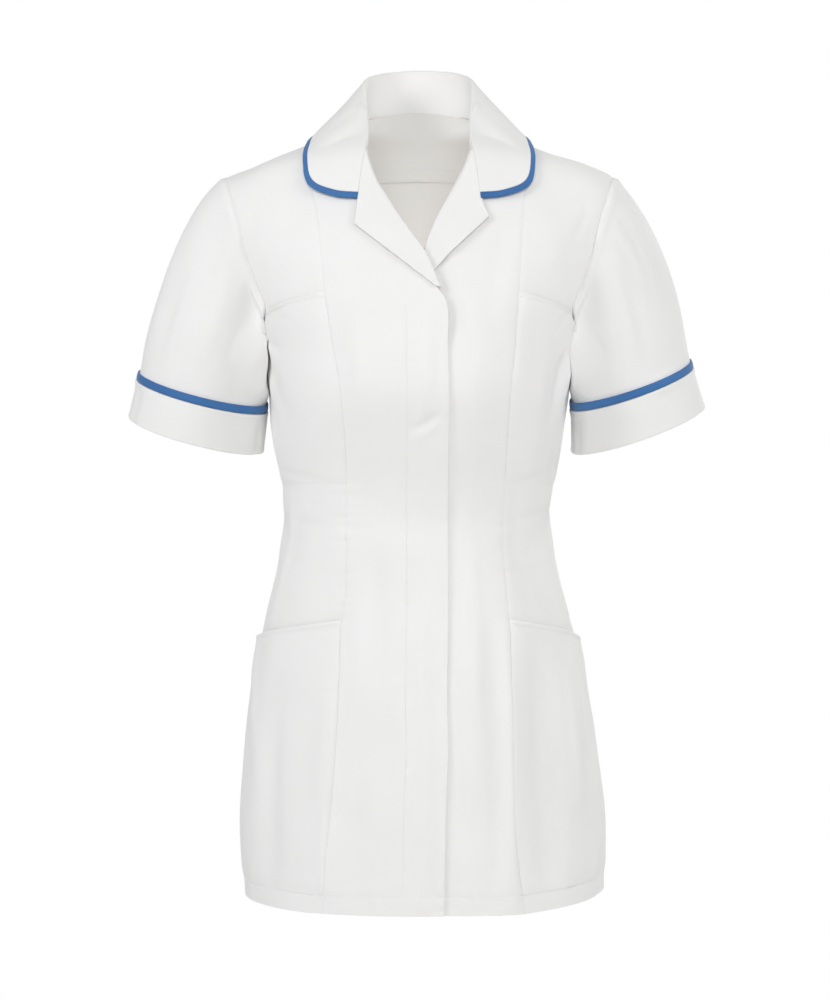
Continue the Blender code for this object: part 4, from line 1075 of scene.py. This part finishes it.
def spun(name):
    """Sewing thread: the strands' twist as fine relief and a little unevenness of tone."""
    made, tree, shader = new_material(name, THREAD_LIGHT, 0.5, 0.2)
    place = add_node(tree, "TexCoord", "Object")
    strands = add_node(tree, "TexNoise", "Fac", Vector=place, Scale=2200, Detail=2)
    twist = add_node(tree, "Bump", "Normal", Strength=0.5, Distance=0.00005, Height=strands)
    tone = toned(tree, strands, THREAD_DARK, THREAD_LIGHT)
    set_sockets(tree, shader, {"Normal": twist, "Base Color": tone})
    return made


def normals_of(points, like, part=slice(None)):
    """Unit normals of a grid, turned so that a part of them points to the side of the given ones."""
    normal = unit(np.cross(np.gradient(points, axis=0), np.gradient(points, axis=1)))
    return normal * np.sign(np.sum(normal[part] * like))


def body_height(turn, z, back=False):
    """Height of a body panel's cloth over the torso, before its own edges and seams."""
    return folds(turn, z, back) + unevenness(torso(turn, z, back))


def sewn_sheet(node, grid, height, far, row, fly=None, back=False, low=0.0, thick=CLOTH):
    """Sheet of cloth on the torso, rounded at its edges, with its row of stitches and the fly's."""
    turn, z = grid
    fall = rounded(far.nearest, np.minimum(ROUNDING, thick * THINNEST_ROUNDING))
    outer = drawn_in(on_torso(turn, z, low + height - fall, back))
    inner = drawn_in(on_torso(turn, z, low + height - thick + fall, back))
    piece = cloth_object(node + "_cloth", outer, inner)
    normal = normals_of(outer, torso_normal(turn, z, back))
    paths = [line_across(outer, normal, *row)]
    if fly is not None:
        path, up = line_across(outer.transpose(1, 0, 2), normal.transpose(1, 0, 2), fly.T, FLY_STITCH)
        shown = (path[:, 2] > FLY_STITCH_ENDS[0]) & (path[:, 2] < FLY_STITCH_ENDS[1])
        paths.append((path[shown], up[shown]))
    declare(piece, node, with_pieces=[stitches(node + "_stitches", paths)])


def build_front(side):
    """Centre front and side front, which share the princess seam, and the side front's pockets."""
    princess = princess_line(side)
    grid = strip(front_edge_line(side), princess, CENTRE_STEPS)
    z = grid[1]
    far = Distances(torso(*grid))
    height = body_height(*grid) + lap(side, torso(*grid)[..., 0], z) + seam_dips(far.last, far.top)
    height += princess_puckers(far.along, far.last, side, z)
    height += sewing("front_hem", far.across, far.low - HEM_STITCH)
    height += sewing("front_edge", far.along, far.first, side) * smooth_step(far.first / FRONT_EDGE_SMOOTH)
    fly = far.first if side == "right" else None
    if fly is not None:
        on_fly = smooth_step((FLY_STITCH_ENDS[1] - z) / FLY_STITCH_FADES)
        height += sewing("fly", far.along, fly - FLY_STITCH) * on_fly
    sewn_sheet("front_centre_" + side, grid, height, far, (far.low, HEM_STITCH), fly)
    grid = strip(princess, side_line(side), SIDE_STEPS)
    far = Distances(torso(*grid))
    height = body_height(*grid) + seam_dips(far.first, far.last, far.top)
    height += princess_puckers(far.along, far.first, side, grid[1])
    hemmed = height + sewing("side_hem", far.across, far.low - HEM_STITCH)
    sewn_sheet("front_side_" + side, grid, hemmed, far, (far.low, HEM_STITCH))
    for pocket in POCKETS:
        build_pocket(pocket, side, grid, height)


def build_pocket(pocket, side, grid, height):
    """Patch pocket from its panel's points moved out: a full folded top edge, thin where it is sewn in."""
    part = slice(pocket.bottom + ADDED_ROWS, pocket.top + ADDED_ROWS + 1)
    turn, z, height = (close_rows(values[part]) for values in (*grid, height))
    far = Distances(torso(turn, z))
    up, across = far.along / far.along[-1:], far.across / far.across[:, -1:]
    from_sewn = np.minimum(far.low, np.minimum(far.first, far.last))
    full = smooth_step(from_sewn / POCKET_THINS, POCKET_THINNEST)
    gape = pocket.gape * smooth_step((up - GAPES_ABOVE) / (1 - GAPES_ABOVE))
    lift = gape * smooth_step(across / GAPE_FULL_AT, GAPE_AT_PRINCESS) + ridge(POCKET_BAND, far.top)
    loose = smooth_step(far.first / LOOSE_FROM_PRINCESS + LOOSE_AT_PRINCESS)
    loose = loose * smooth_step(far.last / LOOSE_FROM_SIDE, LOOSE_AT_SIDE)
    lift = lift * (full if pocket.closed else loose)
    lift = lift + sewing("pocket_top", far.across, far.top - POCKET_STITCH)
    thick = CLOTH * full
    low = LIE_GAP * full + thick
    row = far.top, POCKET_STITCH
    sewn_sheet(pocket.name + side, (turn, z), height + lift, far, row, low=low, thick=thick)


def waist_darts(turn, z):
    """Two darts of the back that run through the waist, as sharp furrows with puckers along them."""
    height = 0 * turn
    share = np.clip((z - DART_ENDS[0]) / (DART_ENDS[1] - DART_ENDS[0]), 0, 1)
    inside = smooth_step(4 * share) * smooth_step(4 * (1 - share))
    for side, sign in SIDES.items():
        away = np.abs(turn - sign * DART_AT * math.pi / 2) * DART_RADIUS
        height += (ridge(DART_FURROW, away) + sewing("dart_" + side, z, away)) * inside
    return height


def build_back():
    """The back, and inside its neck the facing."""
    turn, z = back_grid()
    far = Distances(torso(turn, z, back=True))
    height = body_height(turn, z, True) + seam_dips(far.first, far.last, far.top) + waist_darts(turn, z)
    height += sewing("back_hem", far.across, far.low - HEM_STITCH)
    sewn_sheet("back", (turn, z), height, far, (far.low, HEM_STITCH), back=True)
    build_facing(turn, z, height)


def build_facing(turn, z, height):
    """Shaped band inside the back neck, from the back's own points moved in."""
    past = BACK_SIDE_STEPS + len(CLOSE_COLUMNS) - 1 - FACING_PAST_NECK_POINT
    ends = slice(past, turn.shape[1] - past)
    last = len(turn) - 1 - ADDED_ROWS
    columns = np.arange(turn[:, ends].shape[1])
    inwards = 1 - np.abs(np.linspace(-1, 1, len(columns))) ** 3
    depth = FACING_DEPTH[1] + (FACING_DEPTH[0] - FACING_DEPTH[1]) * inwards
    at = blend((last - depth, last - FACING_TOP), np.linspace(0, 1, FACING_ROWS)[:, None])

    def read(grid):
        row = np.clip(at.astype(int), 0, len(grid) - 2)
        grid = grid[:, ends]
        return close_rows(blend((grid[row, columns], grid[row + 1, columns]), at - row))

    turn, z, height = read(turn), read(z), read(height)
    z = z + FACING_LIFT * smooth_step(1 - Distances(torso(turn, z, back=True)).top / FACING_LIFTED)
    far = Distances(torso(turn, z, back=True))
    band = -FACING_BAND_HEIGHT * smooth_step((FACING_BAND_ENDS - far.low) / FACING_BAND_FADES)
    for name, place in FACING_STITCHES.items():
        band = band + sewing(name, far.across, far.low - place)
    band = band + sewing("facing_top", far.across, far.top)
    under = height - WALL - FACING_GAP
    fall = rounded(far.nearest, FACING_ROUNDING)
    outer = drawn_in(on_torso(turn, z, under - fall, True))
    inner = drawn_in(on_torso(turn, z, under - FACING_WALL + fall + band, True))
    piece = cloth_object("back_neck_facing_cloth", outer, inner)
    inside = -torso_normal(turn, z, back=True)
    paths = [line_across(inner, inside, far.low, place) for place in FACING_STITCHES.values()]
    sewn = stitches("back_neck_facing_stitches", paths)
    declare(piece, "back_neck_facing", with_pieces=[sewn])


def in_torso(point):
    """Points as shares of the torso's half width and depth, their height, and if they lie at the back."""
    x, y, z = point[..., 0], point[..., 1], point[..., 2]
    back = y > section("side_y", z)
    depth = np.where(back, section("back", z), section("front", z))
    return (x - section("mid", z)) / section("half", z), np.abs(y - section("side_y", z)) / depth, z, back


def outside_torso(point):
    """Measure that is nought on the torso's outer face and positive outside it."""
    across, along, z, _ = in_torso(point)
    power = section("power", z)
    return (np.abs(across) ** power + along**power) ** (1 / power) - 1


def above_torso(point, step=0.0005):
    """Height of points above the torso's outer face, and the unit direction away from it."""
    steps = [outside_torso(point + step * axis) - outside_torso(point - step * axis) for axis in np.eye(3)]
    slope = np.stack(steps, axis=-1) / (2 * step)
    steepness = np.linalg.norm(slope, axis=-1)
    return outside_torso(point) / steepness, slope / steepness[..., None]


def raised(point, rise):
    """Moves points out until they lie at least this far above the torso, short of the nape."""
    low, high = COLLAR_RISE_BELOW
    for _ in range(4):
        height, away = above_torso(point)
        below_nape = smooth_step((high - point[..., 2]) / (high - low))
        need = np.clip(rise - height, 0, COLLAR_RISE_MOST) * below_nape
        point = point + away * need[..., None]
    return point


def full_collar():
    """Collar rows from the right gorge round the back to the left one."""
    half = COLLAR[:-1]
    right = [row._replace(neck_x=-row.neck_x, fold_x=-row.fold_x, edge_x=-row.edge_x) for row in half]
    left = [row._replace(at=2 * COLLAR_MIDDLE - row.at) for row in reversed(half)]
    return right + [COLLAR[-1]] + left


def neck_seam(at, rows):
    """Mid-wall point and normal of the neck seam, on the front or back of the torso."""
    x, z = through(rows, "neck_x", at, "at"), through(rows, "neck_z", at, "at")
    on_back = (np.abs(at - COLLAR_MIDDLE) < COLLAR_MIDDLE - NECK_POINT_AT)[..., None]
    turn = turn_at(x, z)
    normal = np.where(on_back, torso_normal(turn, z, back=True), torso_normal(turn, z))
    return np.where(on_back, torso(turn, z, back=True), torso(turn, z)) - normal * WALL / 2, normal


def collar_sections(at, leaf, with_stand=True):
    """Mid-wall points of the collar's stand, fold and leaf, a row for each place; leaf gives its lengths."""
    rows = full_collar()
    neck, normal = neck_seam(at, rows)
    fold = np.stack([through(rows, "fold_" + axis, at, "at") for axis in "xyz"], axis=-1)
    edge = np.stack([through(rows, "edge_" + axis, at, "at") for axis in "xyz"], axis=-1)
    top = unit(unit(fold - neck) + unit(fold - edge))
    aside = unit(normal - np.sum(normal * top, axis=-1, keepdims=True) * top)
    from_gorge = COLLAR_MIDDLE - np.abs(at - COLLAR_MIDDLE)
    radius = blend((REVERS_FOLD, COLLAR_FOLD), smooth_step(from_gorge / COLLAR_FOLD_WIDENS_TO)[:, None])
    centre = fold - radius * top
    points = []
    if with_stand:
        points += [blend((neck, centre - radius * aside), share) for share in STAND_SHARES]
        for angle in FOLD_ANGLES:
            points.append(centre + radius * (math.sin(angle) * top - math.cos(angle) * aside))
    begin = centre + radius * aside
    length = np.linalg.norm(edge - begin, axis=-1, keepdims=True)
    for run in leaf(length):
        share = run / length
        bulge = COLLAR_BULGE * np.sin(math.pi * np.clip(share, 0, 1)) ** COLLAR_BULGE_POWER
        points.append(raised(blend((begin, edge), share) + aside * bulge, COLLAR_RISE))
    return np.stack(points, axis=1)


def leaf_lengths(length):
    """Lengths on the collar's leaf up to its piping, close together at the piping."""
    end = length - PIPING_WIDTH
    return [(end - LEAF_EVEN_TO) * share for share in LEAF_SHARES] + [end - close for close in LEAF_CLOSE]


def piping_lengths(length):
    """Lengths on the leaf across its piping."""
    return [length - PIPING_WIDTH * (1 - share) for share in PIPING_SHARES]


def thickened(middle, normal, far_from_edge, half):
    """Outer and inner grids either side of a grid of mid-wall points, closing at the edges."""
    offset = normal * (half - rounded(far_from_edge, half * CLOSING))[..., None]
    return middle + offset, middle - offset


def build_collar():
    """Collar with its stand, and the piping round the collar's edge."""
    at = close_rows(np.linspace(0, 2 * COLLAR_MIDDLE, 2 * COLLAR_STEPS + 1))
    middle = collar_sections(at, leaf_lengths)
    far = Distances(middle)
    outer_edge = np.s_[:, -1]
    normal = normals_of(middle, unit(middle[outer_edge] * np.array([1.0, 1.0, 0.0])), outer_edge)
    soft = COLLAR_UNEVEN * unevenness(middle)
    soft = soft * smooth_step(far.last / COLLAR_SMOOTH) * smooth_step(far.first / COLLAR_SMOOTH)
    middle = drawn_in(middle + normal * soft[..., None], COLLAR_DRAWN_IN)
    outer, inner = thickened(middle, normal, far.nearest, HALF_WALL)
    piece = cloth_object("collar_cloth", outer, inner)
    middle = collar_sections(at, piping_lengths, with_stand=False)
    far = Distances(middle)
    normal = normals_of(middle, normal[:, -1:])
    crown = PIPING_CROWN * np.sin(math.pi * np.clip(far.across / far.across[:, -1:], 0, 1))
    middle = drawn_in(middle + normal * crown[..., None], COLLAR_DRAWN_IN)
    outer_band, inner_band = thickened(middle, normal, far.nearest, PIPING_HALF_WALL)
    band = cloth_object("collar_piping_cloth", outer_band, inner_band, "blue_piping")
    place_in_frame(band, "collar_piping")
    declare(piece, "collar", with_pieces=[band])


def build_revers(side):
    """Revers: a fold that starts at the front's edge, then the lapel lying on the front up to the collar."""
    roll, outward, reach = revers_frame(side)
    low = -WALL / 2
    top_of_fold = low + 2 * REVERS_FOLD
    points = [(REVERS_FOLD + REVERS_STAND * (1 - share) + 0 * reach, low) for share in STAND_SHARES]
    for angle in FOLD_ANGLES:
        away = REVERS_FOLD * (1 - math.sin(angle)) + 0 * reach
        points.append((away, low + REVERS_FOLD * (1 - math.cos(angle))))
    for share in LAPEL_SHARES:
        away = REVERS_FOLD + (reach - REVERS_FOLD) * share
        settled = smooth_step((away - REVERS_FOLD) / REVERS_SETTLES)
        points.append((away, blend((top_of_fold, REVERS_RISE), settled)))
    columns = []
    for away, height in points:
        x, z = (roll + outward * away[:, None]).T
        columns.append(on_torso(turn_at(x, z), z, height + lap(side, x, z)))
    middle = np.stack(columns, axis=1)
    gorge_at = np.array([0.0 if side == "right" else 2.0 * COLLAR_MIDDLE])
    gorge = collar_sections(gorge_at, lambda length: [length * share for share in LAPEL_SHARES])[0]
    middle = close_rows(middle + (gorge - middle[-1]) * to_gorge(len(middle))[:, None, None])
    far = Distances(middle)
    normal = normals_of(middle, np.array([0, -1, 0]), (len(middle) // 2, -4))
    soft = unevenness(middle) * smooth_step(far.nearest / REVERS_SMOOTH) * REVERS_UNEVEN
    middle = middle + normal * (soft + ridge(REVERS_EDGE, far.last))[..., None]
    middle = drawn_in(middle, REVERS_DRAWN_IN, edges=((0, 1),))
    middle[-1] += unit(middle[-2] - middle[-1]) * REVERS_GORGE_GAP
    outer, inner = thickened(middle, normal, far.nearest, HALF_WALL)
    piece = cloth_object("revers_" + side + "_cloth", outer, inner)
    declare(piece, "revers_" + side)


def round_arm(count):
    """Angles round the arm: from the underarm over the front to the outside and back."""
    return np.linspace(0, 2 * math.pi, count, endpoint=False)


def arm_axis(side):
    return unit(np.array(CUFF_BOTTOM[side][:3]) - np.array(CUFF_TOP[side][:3]))


def cuff_ring(side, ring, steps, smaller=0.0, down=0.0):
    """Ring round the arm at a cuff."""
    tilt = math.radians(ring.tilt)
    inner = np.array([-SIDES[side] * math.cos(tilt), 0, -math.sin(tilt)])
    front = np.array([0, -math.cos(RING_FRONT_DROP), -math.sin(RING_FRONT_DROP)])
    angle = round_arm(steps)[:, None]
    centre = np.array(ring[:3]) + arm_axis(side) * down
    across = inner * np.cos(angle) * (ring.half - smaller)
    return centre + across + front * np.sin(angle) * (ring.depth - smaller)


def ring_normal(rings):
    """Normals of a tube's rings, pointing out of the tube."""
    around = np.roll(rings, -1, axis=1) - np.roll(rings, 1, axis=1)
    normal = unit(np.cross(np.gradient(rings, axis=0), around))
    outward = rings - rings.mean(axis=1, keepdims=True)
    return normal * np.sign(np.sum(normal * outward, axis=(1, 2), keepdims=True))


def armhole_seam(side):
    """Points and normals of the body's cloth round an armhole, from the underarm over the front."""
    halves = []
    for back in (False, True):
        turn, z = (values[ROW_AT["underarm"] :] for values in side_line(side, back))
        halves.append((on_torso(turn, z, folds(turn, z, back), back), torso_normal(turn, z, back)))
    return [np.concatenate([front, back[-2:0:-1]]) for front, back in zip(*halves)]


def sleeve_path(side):
    """Rings of the sleeve's outer face, from the armhole to the top of its piping."""
    sign = SIDES[side]
    seam, normal = armhole_seam(side)
    count = len(seam)
    along = np.roll(seam, -1, axis=0) - np.roll(seam, 1, axis=0)
    into_hole = unit(sign * np.cross(along, normal))
    upper = (1 - np.cos(round_arm(count)))[:, None] / 2
    part = np.arange(count)[:, None] * ARMHOLE_PARTS / count
    on_front = smooth_step((POCKET_PARTS[0] - part) / 2)
    on_back = smooth_step((part - ARMHOLE_PARTS + POCKET_PARTS[1]) / 2)
    first = seam + unit(blend((normal, into_hole), upper)) * SLEEVE_GAP
    first = first + normal * (CLOTH + LIE_GAP) * (on_front + on_back)
    last = piping_ring(side, count, 0)
    out, up = (blend(ends, upper) for ends in zip(*SLEEVE_LEAVES))
    leave = unit(np.concatenate([sign * out, 0 * out, up], axis=1)) * blend(SLEEVE_LEAD_IN, upper)
    arrive = arm_axis(side) * blend(SLEEVE_LEAD_OUT, upper)
    rings = []
    for s in SLEEVE_ROWS:
        place = first * (1 + 2 * s) * (1 - s) ** 2 + leave * s * (1 - s) ** 2
        rings.append(place + last * s * s * (3 - 2 * s) - arrive * s * s * (1 - s))
    return np.array(rings), normal, upper[:, 0]


def beside_body(rings, upper):
    """Draws the inner side of a sleeve to its clearance from the body, between the armhole and the cuff."""
    s = SLEEVE_ROWS[:, None]
    start, full, fade, end = SLEEVE_DRAWN_ROWS
    along_arm = smooth_step((s - start) / (full - start)) * smooth_step((end - s) / (end - fade))
    for _ in range(2):
        height, away = above_torso(rings)
        across, along, z, back = in_torso(rings)
        turn = np.arctan2(across, along)
        folds_under = np.where(back, folds(turn, z, True), folds(turn, z))
        spare = height - SLEEVE_CLEARANCE - folds_under
        near = smooth_step(1 - spare / SLEEVE_DRAWN_WITHIN) * along_arm * smooth_step(2 - 4 * upper)
        rings = rings - away * (spare * near)[..., None]
    return rings


def crease_height(angle, crease):
    """Height of a crease along the arm, by the angle round the arm."""
    return crease.depth * smooth_step(1 - np.abs(apart(angle, crease.angle)) / math.radians(crease.width))


def sleeve_fold_height(side, count):
    """Height of a sleeve's folds at its rings, nothing at the armhole and at the piping."""
    height = 0
    for fold in SLEEVE_FOLDS[side]:
        stretch = np.clip((SLEEVE_ROWS[:, None] - fold.start) / (fold.end - fold.start), 0, 1)
        height = height + crease_height(round_arm(count)[None, :], fold) * np.sin(math.pi * stretch)
    return height


def build_sleeve(side):
    """Sleeve from the armhole to the cuff, with its cuff and the piping between them."""
    rings, seam_normal, upper = sleeve_path(side)
    count = rings.shape[1]
    rings = rings + ring_normal(rings) * sleeve_fold_height(side, count)[..., None]
    rings = beside_body(rings, upper)
    far = run_along(rings, 0)
    ripple = sewing("armhole", run_along(rings, 1), far, side) * smooth_step(far / SLEEVE_PUCKERED_FROM)
    soft = unevenness(rings) * smooth_step(far / SLEEVE_SMOOTH)
    height = seam_dips(far) + ridge(SLEEVE_EASE, far) * blend(SLEEVE_EASE_SHARES, upper) + ripple + soft
    height *= smooth_step((1 - SLEEVE_ROWS)[:, None] / SLEEVE_SETTLES[0] + SLEEVE_SETTLES[1])
    rings = rings + ring_normal(rings) * height[..., None]
    turned_in = rings[0] - seam_normal * SLEEVE_TURNED_IN
    tail = [piping_ring(side, count, share) for share in SLEEVE_TAIL]
    tucked = cuff_ring(side, CUFF_TOP[side], count, CUFF_STANDS_PROUD, SLEEVE_TUCK)
    rings = np.concatenate([[turned_in], rings, tail, [tucked]])
    normal = ring_normal(rings)
    normal[0] = normal[1]
    piece = cloth_object("sleeve_" + side + "_cloth", rings, rings - normal * CLOTH, ring=True)
    cuff, cuff_outer = build_cuff(side, count)
    band = build_cuff_piping(side, count)
    declare(piece, "sleeve_" + side, with_pieces=[band])
    declare(cuff, "cuff_" + side)


def build_cuff(side, count):
    """Turned cuff: a doubled band with full rounded edges."""
    ends = [cuff_ring(side, ring[side], count) for ring in (CUFF_TOP, CUFF_BOTTOM)]
    rings = close_rows(np.array([blend(ends, share) for share in np.linspace(0, 1, CUFF_STEPS + 1)]))
    far = run_along(rings, 0)
    nearest = np.minimum(far, far[-1:] - far)
    normal = ring_normal(rings)
    creased = sum(crease_height(round_arm(count), crease) for crease in CUFF_CREASES)
    creased = creased * smooth_step(far / CUFF_CREASED_FROM)
    soft = unevenness(rings) * smooth_step(far / CUFF_SMOOTH) + creased
    fall = rounded(nearest, CUFF_ROUNDING)
    outer = rings + normal * (soft + ridge(CUFF_EDGE, nearest) - fall)[..., None]
    inner = rings + normal * (soft - CUFF_WALL + fall)[..., None]
    outer[0] += arm_axis(side) * CUFF_STARTS_BELOW
    inner[0] += arm_axis(side) * CUFF_STARTS_BELOW
    return cloth_object("cuff_" + side + "_cloth", outer, inner, ring=True), outer


def piping_ring(side, count, share, above=0.0):
    """Ring of the sleeve under the cuff's piping, from its upper edge to the cuff."""
    smaller = CUFF_STANDS_PROUD + CUFF_PIPING_TAPER * (1 - share)
    return cuff_ring(side, CUFF_TOP[side], count, smaller, -CUFF_PIPING_WIDTH * (1 - share) - above)


def build_cuff_piping(side, count):
    """Blue band that lies on the sleeve just above the cuff."""
    rings = [piping_ring(side, count, share, CUFF_PIPING_STARTS_ABOVE) for share in CUFF_PIPING_SHARES]
    rings = np.array(rings)
    far = run_along(rings, 0)
    normal = ring_normal(rings)
    crown = CUFF_PIPING_CROWN * np.sin(math.pi * CUFF_PIPING_SHARES)[:, None]
    fall = rounded(np.minimum(far, far[-1:] - far), CUFF_PIPING_ROUNDING)
    outer = rings + normal * (LIE_GAP + CUFF_PIPING_WALL + crown - fall)[..., None]
    inner = rings + normal * (LIE_GAP + fall * CUFF_PIPING_UNDER)[..., None]
    band = cloth_object("cuff_piping_" + side + "_cloth", outer, inner, "blue_piping", ring=True)
    place_in_frame(band, "cuff_piping_" + side)
    return band


def add_to_scene(name, data, location, rotation=(0, 0, 0)):
    """Puts a lamp or camera into the scene."""
    made = bpy.data.objects.new(name, data)
    made.location, made.rotation_euler = location, rotation
    bpy.context.scene.collection.objects.link(made)
    return made


def build_stage():
    """Pale floor under the garment, white surroundings, soft lights and the camera."""
    angle = round_arm(FLOOR_CORNERS)
    ring = np.stack([np.cos(angle), np.sin(angle), 0 * angle], axis=-1) * FLOOR_RADIUS
    paint = new_material("floor_paint", FLOOR_TONE, 0.9, 0.0)[0]
    floor = add_object("floor", ring.tolist(), [list(range(FLOOR_CORNERS))], paint)
    floor.location = (0, 0, FLOOR_Z)
    paper, tree, shader = new_material("backdrop_paper", (0, 0, 0, 1), 1.0, 0.0)
    glow = {"Specular IOR Level": 0.0, "Emission Color": (1, 1, 1, 1), "Emission Strength": 1.0}
    set_sockets(tree, shader, glow)
    x, z = BACKDROP_HALF
    corners = [(-x, 0, -z), (x, 0, -z), (x, 0, z), (-x, 0, z)]
    backdrop = add_object("backdrop", corners, [(0, 1, 2, 3)], paper)
    backdrop.location = (0, BACKDROP_Y, CAMERA[2])
    world = bpy.data.worlds.new("studio")
    world.use_nodes = True
    surroundings = {"Color": (1, 1, 1, 1), "Strength": WORLD_STRENGTH}
    set_sockets(world.node_tree, world.node_tree.nodes["Background"], surroundings)
    bpy.context.scene.world = world
    bpy.context.scene.view_settings.view_transform = "Standard"
    for light in LIGHTS:
        lamp = bpy.data.lights.new(light.name, "AREA")
        lamp.shape = "RECTANGLE"
        lamp.size, lamp.size_y, lamp.energy = light.width, light.height, light.power
        lamp.color = light.colour
        place = (light.x, light.y, light.z)
        aim = np.array(light.aim) - np.array(place)
        pitch = math.atan2(np.hypot(aim[0], aim[1]), -aim[2])
        yaw = math.atan2(aim[1], aim[0]) - math.pi / 2
        add_to_scene(light.name, lamp, place, (pitch, 0, yaw))
    view = bpy.data.cameras.new("camera")
    view.lens = LENS
    bpy.context.scene.camera = add_to_scene("camera", view, CAMERA, (math.pi / 2, 0, 0))


build_stage()
LOOKS = {name: woven(name, weave) for name, weave in WEAVES.items()}
LOOKS["white_thread"] = spun("white_thread")
for side in SIDES:
    build_front(side)
build_back()
build_collar()
for side in SIDES:
    build_revers(side)
    build_sleeve(side)
